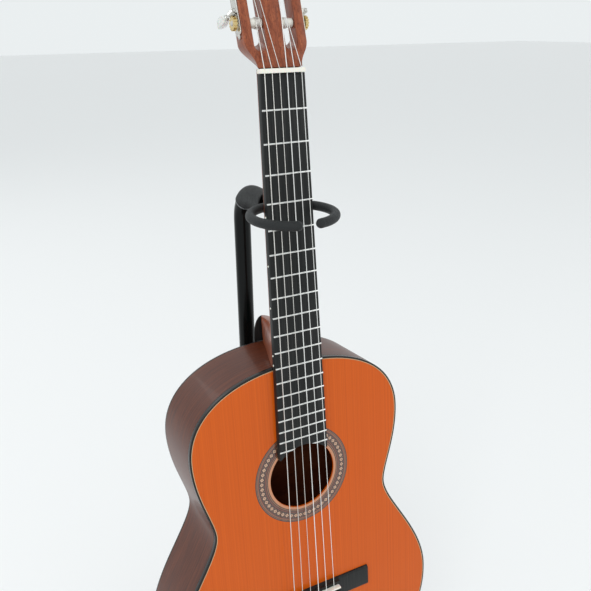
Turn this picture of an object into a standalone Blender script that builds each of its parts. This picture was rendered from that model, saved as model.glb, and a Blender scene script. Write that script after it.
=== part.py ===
"""Classical guitar resting in a tubular floor stand with a neck ring.

Metres, +Z up. The stand's post is on X = 0, and the origin is on the floor below the middle of the
whole. The guitar faces -Y and leans back. Its own frame starts at the nut: X across the neck towards
the treble side, -Y out of the fingerboard's face, Z up the neck.
"""
import math

import bmesh
import bpy
from mathutils import Matrix, Vector

GAP = 0.0003            # between pieces that touch
CLEAR = 0.0005          # round pieces that turn or slide

# Guitar: neck and strings
SCALE = 0.650
FRETS = 19
JOINT_FRET = 12
NUT_WIDTH = 0.052
JOINT_WIDTH = 0.062     # neck at the joint fret
NECK_DEPTH = 0.021      # fingerboard and neck together
BOARD_THICK = 0.0075
FRET_HEIGHT = 0.001
FRET_WIDTH = 0.0022
BOARD_TAIL = 0.0105     # of the fingerboard past its last fret
BOARD_HOLE_GAP = 0.001  # from the sound hole's edge
NECK_ROUNDING = 1.15    # of the neck's back, 1 is an ellipse
NUT_LENGTH = 0.005
NUT_HEIGHT = 0.0035     # above the fingerboard
NUT_SPREAD = 0.043
SADDLE_SPREAD = 0.058
NUT_LIFT = 0.0017       # string above the fingerboard
SADDLE_LIFT = 0.0064
STRING_RADII = (0.00036, 0.00041, 0.00051, 0.00037, 0.00045, 0.00055)

# Guitar: body
BODY_LENGTH = 0.489
UPPER_BOUT, UPPER_DROP = 0.283, 0.0944
WAIST, WAIST_DROP = 0.2406, 0.1979
LOWER_BOUT, LOWER_DROP = 0.3736, 0.3598
TOP_PULL = 0.0891       # how far the outline's curves run on straight at each of its points
UPPER_PULLS = (0.0576, 0.0466)
WAIST_PULLS = (0.0207, 0.0324)
LOWER_PULLS = (0.0648, 0.0568)
TAIL_PULL = 0.1614
DEPTH_AT_HEEL = 0.092
DEPTH_AT_TAIL = 0.100
TOP_THICK = 0.0026
BACK_THICK = 0.003
RIB_THICK = 0.0024
BINDING_WIDTH = 0.002
BINDING_DEPTH = 0.006
LINING_WIDTH = 0.006
LINING_DEPTH = 0.012
HOLE_RADIUS = 0.044
HOLE_DROP = 0.1506      # centre below the body's upper edge
BLOCK_WIDTH = 0.060
NECK_BLOCK_LENGTH = 0.028
TAIL_BLOCK_LENGTH = 0.016
BRACE_WIDTH = 0.007
BRACE_HEIGHT = 0.014
BRACE_OFFSET = 0.016    # from the soundhole's edge

# Guitar: bridge
BRIDGE_LENGTH = 0.178
BRIDGE_DEPTH = 0.030    # along the strings
BRIDGE_CORE = 0.086     # the thick middle
WING_HEIGHT = 0.0035
CORE_HEIGHT = 0.0085
SADDLE_LENGTH = 0.080
SADDLE_THICK = 0.0026
TIE_LENGTH = 0.012      # tie block along the strings
SADDLE_FRONT = 0.007    # of the bridge above the saddle
SADDLE_SETBACK = 0.001   # behind the scale's end
SADDLE_SEAT = 0.0025    # wood under the saddle
CORE_INSET = 0.0004     # of the thick middle from the bridge's long edges
CHANNEL_GAP = 0.004     # between the saddle's middle and the channel behind it
CHANNEL_RISE = 0.0008   # of the channel's floor above the wings
TIE_REACH = 0.002       # of each string, straight out of its tie hole
TIE_HOLE = 0.0011       # radius
TIE_RISE = 0.0022       # of the tie holes above the wings

# Guitar: heel
HEEL_REACH = 0.033      # of the nose up the neck from the body
HEEL_FLARE = 0.060      # of the heel where it meets the neck
HEEL_NOSE = 0.0135      # half-width at the cap
HEEL_CAP = 0.002
HEEL_ROUNDING = 0.7     # of the heel's front, 1 is an ellipse
HEEL_INSET = 0.001      # of the heel's sides from the neck's
HEEL_START = 0.004      # of the heel behind the fingerboard

# Guitar: head
HEAD_TILT = math.radians(14)
HEAD_FACE = 0.0045      # of the head below the fingerboard's face, at the nut
HEAD_LENGTH = 0.186
HEAD_WIDTH = 0.072
HEAD_THICK = 0.018
CREST_DROP = 0.022      # from the head's tip to its shoulders
CREST_STEP = 0.003
SHOULDER = 0.028        # length of the curve from the nut to the full width
SLOT_WIDTH = 0.015
SLOT_OFFSET = 0.018
SLOT_START = 0.016
SLOT_RAMP = 0.012       # the slot's lower end slopes this far up at the back
FIRST_ROLLER = 0.048
ROLLER_PITCH = 0.035
ROLLER_DEPTH = 0.0078   # of the roller's axis behind the head's face
ROLLER_RADIUS = 0.005
AXLE_RADIUS = 0.003
AXLE_INSET = 0.006      # of the roller's axle in the head's middle
STRING_LEAD = 0.12      # the string meets its roller this share of the way back to the nut's spacing
PLATE_WIDTH = 0.013
PLATE_THICK = 0.0012
PLATE_LOW = 0.0095      # of the plate below its first roller
PLATE_HIGH = 0.006      # of the plate above its last worm
PLATE_TIP = 0.0065      # length of its pointed ends
GEAR_RADIUS = 0.0075
GEAR_THICK = 0.0035
GEAR_STANDOFF = 0.0018  # from the plate
WORM_RADIUS = 0.0032
WORM_SHAFT = 0.0017
WORM_HALF = 0.0051
WORM_STUB = 0.002       # of the shaft in front of the worm
BUTTON_GAP = 0.004      # between the head's back and the button
BUTTON_ROUNDING = 0.6   # 1 is an ellipse
BUTTON_NECK = 0.25      # of the button's ends, as a share of its width
BUTTON_LENGTH = 0.022
BUTTON_WIDTH = 0.0125
BUTTON_THICK = 0.0075

# Placing of the guitar on the stand
TAIL_HEIGHT = 0.1995    # of the guitar's lower end above the floor
LEAN = math.radians(5.3)
GUITAR_SHIFT = 0.0043   # of its middle plane from the post
POST_TO_NUT = 0.113     # the post stands this far behind the nut

# Stand
POST_RADIUS = 0.0105
TUBE_WALL = 0.0015
TUBE_SLIP = 0.0007      # between the telescoping tubes
LOWER_TOP = 0.545
UPPER_BOTTOM = 0.430
BEND_RADIUS = 0.040
RING_DROP = 0.144       # centre of the ring below the nut
RING_BACKSET = -0.0274  # centre of the ring behind the nut
RING_RADIUS = 0.046
RING_ROD = 0.00525
TIP_INSET = 0.00001     # of an arm's round tip inside its bar
LEFT_TIP = math.radians(-21)    # from the front, + towards the treble side
RIGHT_TIP = math.radians(11.5)
EYE_RADIUS = 0.0055
EYE_GAP = 0.003         # between an arm's bar and its eye
WEB_RADIUS = 0.0035     # of the web from the bar to the eye
BLOCK_HALF = 0.006      # width
BLOCK_HEIGHT = 0.0115   # half
BLOCK_LUG = 0.003
BLOCK_START = 0.0095    # of the block's solid part behind its pin
BLOCK_DEPTH = 0.008     # of the solid part
PLUG_LENGTH = 0.014     # of the block inside the tube
PIN_RADIUS = 0.0025
SLEEVE_THICK = 0.0012
HUB_WALL = 0.0073       # around the lower tube
HUB_FLOOR = 0.004
HUB_LOW = 0.150
HUB_HIGH = 0.214
HINGE_OFFSET = 0.014    # of the leg hinges from the hub's side
HINGE_Z = 0.172
LUG_THICK = 0.005
LUG_RADIUS = 0.009
LEG_RADIUS = 0.008
LEG_PIN = 0.003
PIN_HEAD = 0.0055
PIN_HEAD_THICK = 0.002
LUG_RISE = 0.003        # of the lugs at the hub, above and below their eyes
FOOT_REACH = 0.290
FOOT_RADIUS = 0.015
FOOT_HEIGHT = 0.024
FOOT_EDGE = 0.002       # rounding under the foot
FOOT_WALL_HEIGHT = 0.0144
FOOT_CROWN = 0.0105     # radius of the foot's top
LEG_TOP = 0.010         # of the leg tube past its pin
LEG_END_HEIGHT = 0.0108 # of the leg's end above the floor
HUB_SLOT_GAP = 0.0005   # between the hub's side and the leg slots
FRONT_SPREAD = math.radians(50)
COLLAR_WALL = 0.0063    # around the lower tube
COLLAR_LOW = 0.526
COLLAR_HIGH = 0.582
KNOB_Z = 0.563
KNOB_RADIUS = 0.017
KNOB_THICK = 0.012
SCREW_RADIUS = 0.003
BOSS_RADIUS = 0.009
BOSS_REACH = 0.008      # of the boss from the collar
KNOB_NECK = 0.007       # radius
KNOB_GAP = 0.003        # between the boss and the knob
KNOB_LOBES = 5
LOBE_DEPTH = 0.15
CRADLE_REACH = 0.070    # of each pad from the guitar's middle plane
CRADLE_ROD = 0.005
PAD_RADIUS = 0.011
PAD_OVERHANG = 0.008    # of the pad past the soundboard
TIP_BEND = 0.008        # of the arm from the pad to its upright tip
TIP_RISE = 0.038
ELBOW_BEND = 0.012
ROOT_DEPTH = 0.0028     # of each arm's end in the hub, from its side
ROOT_DROP = 0.012       # below the hub's upper edge
ROOT_SHIFT = 0.004      # in front of the post's middle

# The post's distance behind the origin makes the feet's reach equal front and back.
NUT_Z = TAIL_HEIGHT + (SCALE * (1 - 2 ** (-JOINT_FRET / 12)) + BODY_LENGTH) * math.cos(LEAN)
LOWER_RADIUS = POST_RADIUS + TUBE_SLIP + TUBE_WALL
COLLAR_RADIUS = LOWER_RADIUS + COLLAR_WALL
HUB_RADIUS = LOWER_RADIUS + HUB_WALL
HINGE_REACH = HUB_RADIUS + HINGE_OFFSET
POST_Y = (FOOT_REACH * math.cos(FRONT_SPREAD) - FOOT_REACH) / 2
BODY_TOP = -SCALE * (1 - 2 ** (-JOINT_FRET / 12))
BODY_BOTTOM = BODY_TOP - BODY_LENGTH
HOLE_Z = BODY_TOP - HOLE_DROP
GUITAR = Matrix.Translation((GUITAR_SHIFT, POST_Y - POST_TO_NUT, NUT_Z)) @ Matrix.Rotation(-LEAN, 4, "X")
HEAD_START = NUT_LENGTH + (BOARD_THICK - HEAD_FACE) * math.tan(HEAD_TILT)
HEAD = GUITAR @ Matrix.Translation((0, HEAD_FACE, HEAD_START)) @ Matrix.Rotation(-HEAD_TILT, 4, "X")
AROUND_X = Matrix.Rotation(math.pi / 2, 4, "Y")
AROUND_Y = Matrix.Rotation(-math.pi / 2, 4, "X")


# ---- Helpers ----

def material(name, color, metallic, roughness):
    made = bpy.data.materials.new(name)
    made.use_nodes = True
    shader = made.node_tree.nodes["Principled BSDF"]
    shader.inputs["Base Color"].default_value = (*color, 1)
    shader.inputs["Metallic"].default_value = metallic
    shader.inputs["Roughness"].default_value = roughness
    return made


def add(name, mesh, finish, place=Matrix(), smooth=35):
    """A new object from a bmesh, with its faces turned outwards."""
    bmesh.ops.remove_doubles(mesh, verts=mesh.verts, dist=0.00001)
    bmesh.ops.recalc_face_normals(mesh, faces=mesh.faces)
    data = bpy.data.meshes.new(name)
    mesh.to_mesh(data)
    mesh.free()
    data.materials.append(finish)
    data.shade_smooth()
    data.set_sharp_from_angle(angle=math.radians(smooth))
    made = bpy.data.objects.new(name, data)
    made.matrix_world = place
    bpy.context.scene.collection.objects.link(made)
    return made


def combine(target, other, operation="DIFFERENCE"):
    """Cuts the other object out of the target, or joins it on. The other becomes a helper."""
    other.hide_render = True
    other.display_type = "WIRE"
    boolean = target.modifiers.new(other.name, "BOOLEAN")
    boolean.operation = operation
    boolean.solver = "EXACT"
    boolean.object = other


def prism(outline, front, back):
    """A solid with an outline in XZ. front and back give Y, as numbers or functions of Z."""
    mesh = bmesh.new()
    levels = []
    for level in (front, back):
        depth = level if callable(level) else lambda z, fixed=level: fixed
        levels.append([mesh.verts.new((x, depth(z), z)) for x, z in outline])
    near, far = levels
    mesh.faces.new(near)
    mesh.faces.new(far)
    for i in range(len(outline)):
        mesh.faces.new((near[i - 1], near[i], far[i], far[i - 1]))
    return mesh


def frame_prism(outer, inner, front, back):
    """A closed band between two outlines in XZ that have the same number of points."""
    mesh = bmesh.new()
    loops = []
    for outline, level in ((outer, front), (inner, front), (inner, back), (outer, back)):
        depth = level if callable(level) else lambda z, fixed=level: fixed
        loops.append([mesh.verts.new((x, depth(z), z)) for x, z in outline])
    for one, other in zip(loops, loops[1:] + loops[:1]):
        for i in range(len(outer)):
            mesh.faces.new((one[i - 1], one[i], other[i], other[i - 1]))
    return mesh


def box(low, high):
    mesh = bmesh.new()
    size = [b - a for a, b in zip(low, high)]
    middle = [(a + b) / 2 for a, b in zip(low, high)]
    place = Matrix.Translation(middle) @ Matrix.Diagonal((*size, 1))
    bmesh.ops.create_cube(mesh, size=1, matrix=place)
    return mesh


def turned(profile, sides=16, bored=False):
    """A profile of (radius, height) points turned about Z. A bored one is a closed loop off the axis."""
    mesh = bmesh.new()
    verts = [mesh.verts.new((radius, 0, height)) for radius, height in profile]
    edges = [mesh.edges.new(pair) for pair in zip(verts, verts[1:])]
    if bored:
        edges.append(mesh.edges.new((verts[-1], verts[0])))
    bmesh.ops.spin(
        mesh, geom=verts + edges, cent=(0, 0, 0), axis=(0, 0, 1), angle=2 * math.pi,
        steps=sides, use_merge=True,
    )
    return mesh


def rod(radius, low, high, sides=16):
    return turned([(0, low), (radius, low), (radius, high), (0, high)], sides)


def sweep(path, radius, inner=0, sides=12):
    """A round rod along a path, or a tube with open ends."""
    mesh = bmesh.new()
    points = [Vector(point) for point in path]
    ahead = [(b - a).normalized() for a, b in zip(points, points[1:])]
    tangents = [ahead[0]] + [(a + b).normalized() for a, b in zip(ahead, ahead[1:])] + [ahead[-1]]
    side = tangents[0].orthogonal().normalized()
    shells = {size: [] for size in (radius, inner) if size}
    for i, (point, tangent) in enumerate(zip(points, tangents)):
        if i:
            side = tangents[i - 1].rotation_difference(tangent) @ side
        other = tangent.cross(side)
        for size, rings in shells.items():
            turns = [2 * math.pi * k / sides for k in range(sides)]
            rings.append([
                mesh.verts.new(point + size * (math.cos(turn) * side + math.sin(turn) * other))
                for turn in turns
            ])
    for rings in shells.values():
        for one, other in zip(rings, rings[1:]):
            join_rings(mesh, one, other)
    if inner:
        for end in (0, -1):
            join_rings(mesh, shells[radius][end], shells[inner][end])
    else:
        mesh.faces.new(shells[radius][0])
        mesh.faces.new(shells[radius][-1])
    return mesh


def join_rings(mesh, one, other):
    for i in range(len(one)):
        mesh.faces.new((one[i - 1], one[i], other[i], other[i - 1]))


def loft(sections):
    """A solid through sections with the same number of points, closed at both ends."""
    mesh = bmesh.new()
    rings = [[mesh.verts.new(point) for point in section] for section in sections]
    for one, other in zip(rings, rings[1:]):
        join_rings(mesh, one, other)
    mesh.faces.new(rings[0])
    mesh.faces.new(rings[-1])
    return mesh


def arc(centre, radius, start, end, steps, u=Vector((1, 0)), v=Vector((0, 1))):
    """Points on an arc in the plane of u and v: flat ones unless those are 3-D."""
    turns = [start + (end - start) * i / steps for i in range(steps + 1)]
    return [Vector(centre) + radius * (math.cos(turn) * u + math.sin(turn) * v) for turn in turns]


# ---- Guitar body ----

def bezier(start, start_handle, end_handle, end, steps):
    points = []
    for i in range(steps):
        t = i / steps
        points.append(
            (1 - t) ** 3 * start + 3 * (1 - t) ** 2 * t * start_handle
            + 3 * (1 - t) * t ** 2 * end_handle + t ** 3 * end
        )
    return points


def half_outline():
    """The treble half of the body's outline in XZ, from the neck joint round to the tail."""
    top = Vector((0, BODY_TOP))
    upper = Vector((UPPER_BOUT / 2, BODY_TOP - UPPER_DROP))
    waist = Vector((WAIST / 2, BODY_TOP - WAIST_DROP))
    lower = Vector((LOWER_BOUT / 2, BODY_TOP - LOWER_DROP))
    tail = Vector((0, BODY_BOTTOM))
    across, down = Vector((1, 0)), Vector((0, -1))
    points = bezier(top, top + TOP_PULL * across, upper - UPPER_PULLS[0] * down, upper, 9)
    points += bezier(upper, upper + UPPER_PULLS[1] * down, waist - WAIST_PULLS[0] * down, waist, 5)
    points += bezier(waist, waist + WAIST_PULLS[1] * down, lower - LOWER_PULLS[0] * down, lower, 7)
    points += bezier(lower, lower + LOWER_PULLS[1] * down, tail + TAIL_PULL * across, tail, 9)
    return points + [tail]


def normals(points):
    """Unit normals of a half outline, pointing out of the body."""
    found = []
    for i in range(len(points)):
        if i in (0, len(points) - 1):
            along = Vector((1 if i == 0 else -1, 0))
        else:
            along = (points[i + 1] - points[i - 1]).normalized()
        found.append(Vector((-along.y, along.x)))
    return found


def inset_half(inset):
    half = half_outline()
    return [point - inset * normal for point, normal in zip(half, normals(half))]


def inset_outline(inset):
    half = inset_half(inset)
    return half + [Vector((-point.x, point.y)) for point in half[-2:0:-1]]


def back_face(z):
    """Y of the back's outer face: the body is deeper at the tail."""
    share = (BODY_TOP - z) / BODY_LENGTH
    return BOARD_THICK + DEPTH_AT_HEEL + share * (DEPTH_AT_TAIL - DEPTH_AT_HEEL)


def back_inside(z):
    return back_face(z) - BACK_THICK - GAP


def add_soundboard():
    outline = inset_outline(BINDING_WIDTH + GAP)
    board = add("soundboard", prism(outline, BOARD_THICK, BOARD_THICK + TOP_THICK), SPRUCE, GUITAR)
    hole = rod(HOLE_RADIUS, -TOP_THICK, 2 * TOP_THICK, 48)
    place = GUITAR @ Matrix.Translation((0, BOARD_THICK, HOLE_Z)) @ AROUND_Y
    combine(board, add("soundhole_cutter", hole, SPRUCE, place))


def add_ribs():
    outer, inner = inset_half(0), inset_half(RIB_THICK)
    for name, side in (("rib_treble", 1), ("rib_bass", -1)):
        loop = [Vector((side * point.x, point.y)) for point in outer + inner[::-1]]
        for point in loop:
            if abs(point.x) < GAP:
                point.x = side * GAP / 2
        add(name, prism(loop, BOARD_THICK + BINDING_DEPTH + GAP, back_inside), MAHOGANY, GUITAR)


def add_body():
    add_soundboard()
    add("back", prism(inset_outline(0), lambda z: back_face(z) - BACK_THICK, back_face), MAHOGANY, GUITAR)
    add_ribs()
    front = BOARD_THICK
    binding = frame_prism(inset_outline(0), inset_outline(BINDING_WIDTH), front, front + BINDING_DEPTH)
    add("binding_top", binding, BLACK, GUITAR)
    outer = inset_outline(RIB_THICK + GAP)
    inner = inset_outline(RIB_THICK + GAP + LINING_WIDTH)
    front = BOARD_THICK + TOP_THICK + GAP
    add("lining_top", frame_prism(outer, inner, front, front + LINING_DEPTH), CEDAR, GUITAR)
    lining = frame_prism(outer, inner, lambda z: back_inside(z) - LINING_DEPTH, back_inside)
    add("lining_back", lining, CEDAR, GUITAR)
    add_blocks()
    add_braces()


def add_blocks():
    """The blocks inside the body behind the heel and at the tail, between the two linings."""
    front = BOARD_THICK + TOP_THICK + LINING_DEPTH + 2 * GAP
    half = BLOCK_WIDTH / 2
    wall = inset_half(RIB_THICK + GAP)
    middle = len(wall) // 2
    for name, edge, length in (
        ("neck_block", wall[:middle], -NECK_BLOCK_LENGTH),
        ("tail_block", wall[:middle:-1], TAIL_BLOCK_LENGTH),
    ):
        across = [half * i / 4 for i in range(5)]
        outline = [(x, height_at(edge, x)) for x in across]
        outline = [(-x, z) for x, z in outline[:0:-1]] + outline
        inner = edge[0].y + length
        outline += [(half, inner), (-half, inner)]
        add(name, prism(outline, front, lambda z: back_inside(z) - LINING_DEPTH - GAP), CEDAR, GUITAR)


def height_at(edge, x):
    """Z where a line of points, going outwards from the middle, is this far across."""
    for one, other in zip(edge, edge[1:]):
        if one.x <= x < other.x:
            return one.y + (other.y - one.y) * (x - one.x) / (other.x - one.x)
    return edge[-1].y


def half_width(z, inset):
    """The body's half-width at one height, less an inset, between its upper and lower edges."""
    half = inset_half(inset)
    for one, other in zip(half, half[1:]):
        if one.y >= z > other.y:
            return one.x + (other.x - one.x) * (one.y - z) / (one.y - other.y)
    return half[0].x


def add_braces():
    front = BOARD_THICK + TOP_THICK + GAP
    inset = RIB_THICK + LINING_WIDTH + 3 * GAP
    away = HOLE_RADIUS + BRACE_OFFSET
    for name, z in (("brace_upper", HOLE_Z + away), ("brace_lower", HOLE_Z - away)):
        reach = min(half_width(z + BRACE_WIDTH / 2, inset), half_width(z - BRACE_WIDTH / 2, inset))
        low, high = (-reach, front, z - BRACE_WIDTH / 2), (reach, front + BRACE_HEIGHT, z + BRACE_WIDTH / 2)
        brace = add(name, box(low, high), CEDAR, GUITAR)
        chamfer = brace.modifiers.new("top edges", "BEVEL")
        chamfer.width = BRACE_WIDTH / 4
        chamfer.segments = 1


# ---- Guitar neck ----

def board_half(z):
    """Half-width of the fingerboard at a height."""
    return (NUT_WIDTH + (JOINT_WIDTH - NUT_WIDTH) * z / BODY_TOP) / 2


def fret_z(number):
    return -SCALE * (1 - 2 ** (-number / 12))


def add_fingerboard():
    """The board with its frets pressed in, cut to the soundhole's curve at its lower end."""
    end = fret_z(FRETS) - BOARD_TAIL
    profile = [(0, -GAP)]
    for number in range(1, FRETS + 1):
        z, half = fret_z(number), FRET_WIDTH / 2
        profile += [(0, z + half), (-FRET_HEIGHT, z + half / 2), (-FRET_HEIGHT, z - half / 2), (0, z - half)]
    profile += [(0, end), (BOARD_THICK - GAP, end), (BOARD_THICK - GAP, -GAP)]
    sections = [[(side * board_half(z), y, z) for y, z in profile] for side in (-1, 1)]
    board = add("fingerboard", loft(sections), ROSEWOOD, GUITAR, 20)
    cutter = rod(HOLE_RADIUS + BOARD_HOLE_GAP, -2 * BOARD_THICK, 2 * BOARD_THICK, 48)
    place = GUITAR @ Matrix.Translation((0, 0, HOLE_Z)) @ AROUND_Y
    combine(board, add("board_end_cutter", cutter, ROSEWOOD, place))


def neck_section(z):
    """A flat front and a rounded back."""
    half, depth = board_half(z), NECK_DEPTH - BOARD_THICK
    steps = 12
    turns = [math.pi * i / steps for i in range(steps + 1)]
    return [
        (half * math.cos(turn), BOARD_THICK + depth * max(0, math.sin(turn)) ** NECK_ROUNDING, z)
        for turn in turns
    ]


def heel_section(share):
    """One slice of the heel, share 0 inside the neck and 1 at the cap."""
    front = BOARD_THICK + HEEL_START
    y = front + share * (BOARD_THICK + DEPTH_AT_HEEL - HEEL_CAP - GAP - front)
    narrowing = (1 - share) ** 2.4
    half = HEEL_NOSE + (JOINT_WIDTH / 2 - HEEL_INSET - HEEL_NOSE) * narrowing
    reach = HEEL_REACH + (HEEL_FLARE - HEEL_REACH) * (1 - share) ** 3
    steps = 12
    foot = BODY_TOP + GAP
    points = []
    for i in range(steps + 1):
        turn = math.pi * i / steps
        points.append((half * math.cos(turn), y, foot + reach * math.sin(turn) ** HEEL_ROUNDING))
    return points


def add_neck():
    top = [(x, y, NUT_LENGTH - GAP - (y - BOARD_THICK) * math.tan(HEAD_TILT)) for x, y, z in neck_section(0)]
    rest = [neck_section(BODY_TOP * i / 4) for i in range(1, 4)] + [neck_section(BODY_TOP + GAP)]
    neck = add("neck", loft([top] + rest), NATO, GUITAR, 50)
    heel = loft([heel_section(i / 8) for i in range(9)])
    combine(neck, add("heel_shape", heel, NATO, GUITAR), "UNION")
    last = [(x, z) for x, y, z in heel_section(1)]
    back = BOARD_THICK + DEPTH_AT_HEEL
    add("heel_cap", prism(last, back - HEEL_CAP, back), ROSEWOOD, GUITAR)


def add_nut():
    """A block with a notch for each string."""
    half, top, low = NUT_WIDTH / 2, -NUT_HEIGHT, BOARD_THICK - GAP
    outline = [(half, low), (half, top)]
    for number in range(6):
        x, radius = string_x(number, NUT_SPREAD), STRING_RADII[number] + GAP
        floor = radius - NUT_LIFT
        outline += [(x + radius, top), (x + radius, floor), (x - radius, floor), (x - radius, top)]
    outline += [(-half, top), (-half, low)]
    sections = [[(x, y, z) for x, y in outline] for z in (0, NUT_LENGTH - GAP)]
    add("nut", loft(sections), BONE, GUITAR)


def string_x(number, spread):
    """Across the neck: string 1 is on the treble side."""
    return spread * (0.5 - number / 5)


# ---- Guitar bridge and strings ----

SADDLE_Z = -SCALE - SADDLE_SETBACK
SADDLE_TOP = -(SADDLE_LIFT + FRET_HEIGHT)


def add_bridge():
    """Two flat wings and a thick middle, with a slot for the saddle and a block that the strings tie to."""
    front = BOARD_THICK - GAP
    deep = front - 2 * CORE_HEIGHT
    high = SADDLE_Z + SADDLE_FRONT
    low = high - BRIDGE_DEPTH
    half, core_half = BRIDGE_LENGTH / 2, BRIDGE_CORE / 2
    bridge = add("bridge", box((-half, front - WING_HEIGHT, low), (half, front, high)), ROSEWOOD, GUITAR)
    core_low = (-core_half, front - CORE_HEIGHT, low + CORE_INSET)
    core_high = (core_half, front - WING_HEIGHT / 2, high - CORE_INSET)
    combine(bridge, add("bridge_core", box(core_low, core_high), ROSEWOOD, GUITAR), "UNION")
    channel_low = (-BRIDGE_CORE, deep, low + TIE_LENGTH)
    channel_high = (BRIDGE_CORE, front - WING_HEIGHT - CHANNEL_RISE, SADDLE_Z - CHANNEL_GAP)
    combine(bridge, add("bridge_channel", box(channel_low, channel_high), ROSEWOOD, GUITAR))
    seat = front - SADDLE_SEAT
    x, z = SADDLE_LENGTH / 2, SADDLE_THICK / 2
    slot = box((-x - GAP, deep, SADDLE_Z - z - GAP), (x + GAP, seat, SADDLE_Z + z + GAP))
    combine(bridge, add("saddle_slot", slot, ROSEWOOD, GUITAR))
    for number in range(6):
        hole = rod(TIE_HOLE, -TIE_LENGTH, TIE_LENGTH, 8)
        place = GUITAR @ Matrix.Translation((string_x(number, SADDLE_SPREAD), tie_y(), low + TIE_LENGTH))
        combine(bridge, add(f"tie_hole_{number + 1}", hole, ROSEWOOD, place))
    saddle = box((-x, SADDLE_TOP, SADDLE_Z - z), (x, seat - GAP, SADDLE_Z + z))
    add("saddle", saddle, BONE, GUITAR)


def tie_y():
    return BOARD_THICK - GAP - WING_HEIGHT - TIE_RISE


def add_strings():
    """Each runs from its roller over the nut and the saddle into the tie block."""
    to_guitar = GUITAR.inverted() @ HEAD
    for number in range(6):
        radius = STRING_RADII[number]
        at_nut = Vector((string_x(number, NUT_SPREAD), -NUT_LIFT, 0))
        over_nut = at_nut + Vector((0, 0, NUT_LENGTH))
        x = string_x(number, SADDLE_SPREAD)
        at_saddle = Vector((x, SADDLE_TOP - radius - GAP, SADDLE_Z - (SADDLE_THICK + radius) / 2))
        tie = Vector((x, tie_y(), SADDLE_Z + SADDLE_FRONT - BRIDGE_DEPTH + TIE_LENGTH / 2))
        at_tie = tie + Vector((0, 0, TIE_LENGTH / 2 + TIE_REACH))
        side = 1 if number < 3 else -1
        order = number if number < 3 else 5 - number
        s = FIRST_ROLLER + ROLLER_PITCH * order
        lift = ROLLER_RADIUS + radius + GAP
        middle = side * SLOT_OFFSET
        x = middle + STRING_LEAD * (at_nut.x - middle)
        at_roller = to_guitar @ Vector((x, ROLLER_DEPTH - lift, s))
        path = [at_roller, over_nut, at_nut, at_saddle, at_tie, tie]
        add(f"string_{number + 1}", sweep(path, radius, sides=8), NYLON, GUITAR, 60)


# ---- Guitar head ----

def head_half():
    """The treble edge of the head from the nut to the middle of its top."""
    start, full = NUT_WIDTH / 2, HEAD_WIDTH / 2
    points = []
    for i in range(9):
        t = i / 8
        points.append((start + (full - start) * (3 * t * t - 2 * t ** 3), SHOULDER * t))
    corner = HEAD_LENGTH - CREST_DROP
    points.append((full, corner))
    inner, crest = full - CREST_STEP, corner + CREST_STEP
    points.append((inner, crest))
    for i in range(1, 9):
        turn = math.pi / 2 * i / 8
        points.append((inner * math.cos(turn), crest + (HEAD_LENGTH - crest) * math.sin(turn)))
    return points


def slot_section(side, depth):
    """A slot with round ends around all three rollers, at a depth behind the head's face."""
    far = 2 * (FIRST_ROLLER + ROLLER_PITCH) - SLOT_START - SLOT_WIDTH / 2
    low = SLOT_START + SLOT_WIDTH / 2 + SLOT_RAMP * depth / HEAD_THICK
    centre = side * SLOT_OFFSET
    points = arc((centre, low), SLOT_WIDTH / 2, math.pi, 2 * math.pi, 6)
    points += arc((centre, far), SLOT_WIDTH / 2, 0, math.pi, 6)
    return [(x, depth, z) for x, z in points]


def add_head():
    half = head_half()
    outline = half + [(-x, z) for x, z in half[-2::-1]]
    foot = outline[0][1] + GAP
    outline = [(x, max(z, foot)) for x, z in outline]
    head = add("headstock", prism(outline, 0, HEAD_THICK), NATO, HEAD)
    for name, side in (("treble", 1), ("bass", -1)):
        slot = loft([slot_section(side, depth) for depth in (-HEAD_THICK, 2 * HEAD_THICK)])
        combine(head, add(f"slot_{name}", slot, NATO, HEAD))
        for order in range(3):
            bore = rod(AXLE_RADIUS + CLEAR, side * (SLOT_OFFSET - SLOT_WIDTH), side * HEAD_WIDTH, 12)
            s = FIRST_ROLLER + ROLLER_PITCH * order
            place = HEAD @ Matrix.Translation((0, ROLLER_DEPTH, s)) @ AROUND_X
            combine(head, add(f"roller_bore_{name}_{order}", bore, NATO, place))


def add_machines():
    """Geared tuners: plates on the head's sides, and a roller and a worm with its button for each string."""
    plate_side = HEAD_WIDTH / 2 + GAP
    gear_start = plate_side + PLATE_THICK + GEAR_STANDOFF
    for name, side in (("treble", 1), ("bass", -1)):
        sections = [plate_section(side * x) for x in (plate_side, plate_side + PLATE_THICK)]
        plate = add(f"tuner_plate_{name}", loft(sections), NICKEL, HEAD)
        for order in range(3):
            s = FIRST_ROLLER + ROLLER_PITCH * order
            bore = rod(AXLE_RADIUS + CLEAR, side * HEAD_WIDTH / 4, side * HEAD_WIDTH, 12)
            place = HEAD @ Matrix.Translation((0, ROLLER_DEPTH, s)) @ AROUND_X
            combine(plate, add(f"plate_bore_{name}_{order}", bore, NICKEL, place))
            number = order + 1 if side == 1 else 6 - order
            add_roller(number, side, s, gear_start)
            add_button(number, side, s + worm_rise(), gear_start + GEAR_THICK / 2)


def worm_rise():
    """Each worm sits this far above its gear."""
    return GEAR_RADIUS + WORM_RADIUS + GAP


def plate_section(x):
    """A long plate with pointed ends, across the rollers' depth."""
    front, back = ROLLER_DEPTH - PLATE_WIDTH / 2, ROLLER_DEPTH + PLATE_WIDTH / 2
    low = FIRST_ROLLER - PLATE_LOW
    high = FIRST_ROLLER + 2 * ROLLER_PITCH + worm_rise() + PLATE_HIGH
    return [
        (x, front, low), (x, ROLLER_DEPTH, low - PLATE_TIP), (x, back, low),
        (x, back, high), (x, ROLLER_DEPTH, high + PLATE_TIP), (x, front, high),
    ]


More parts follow.
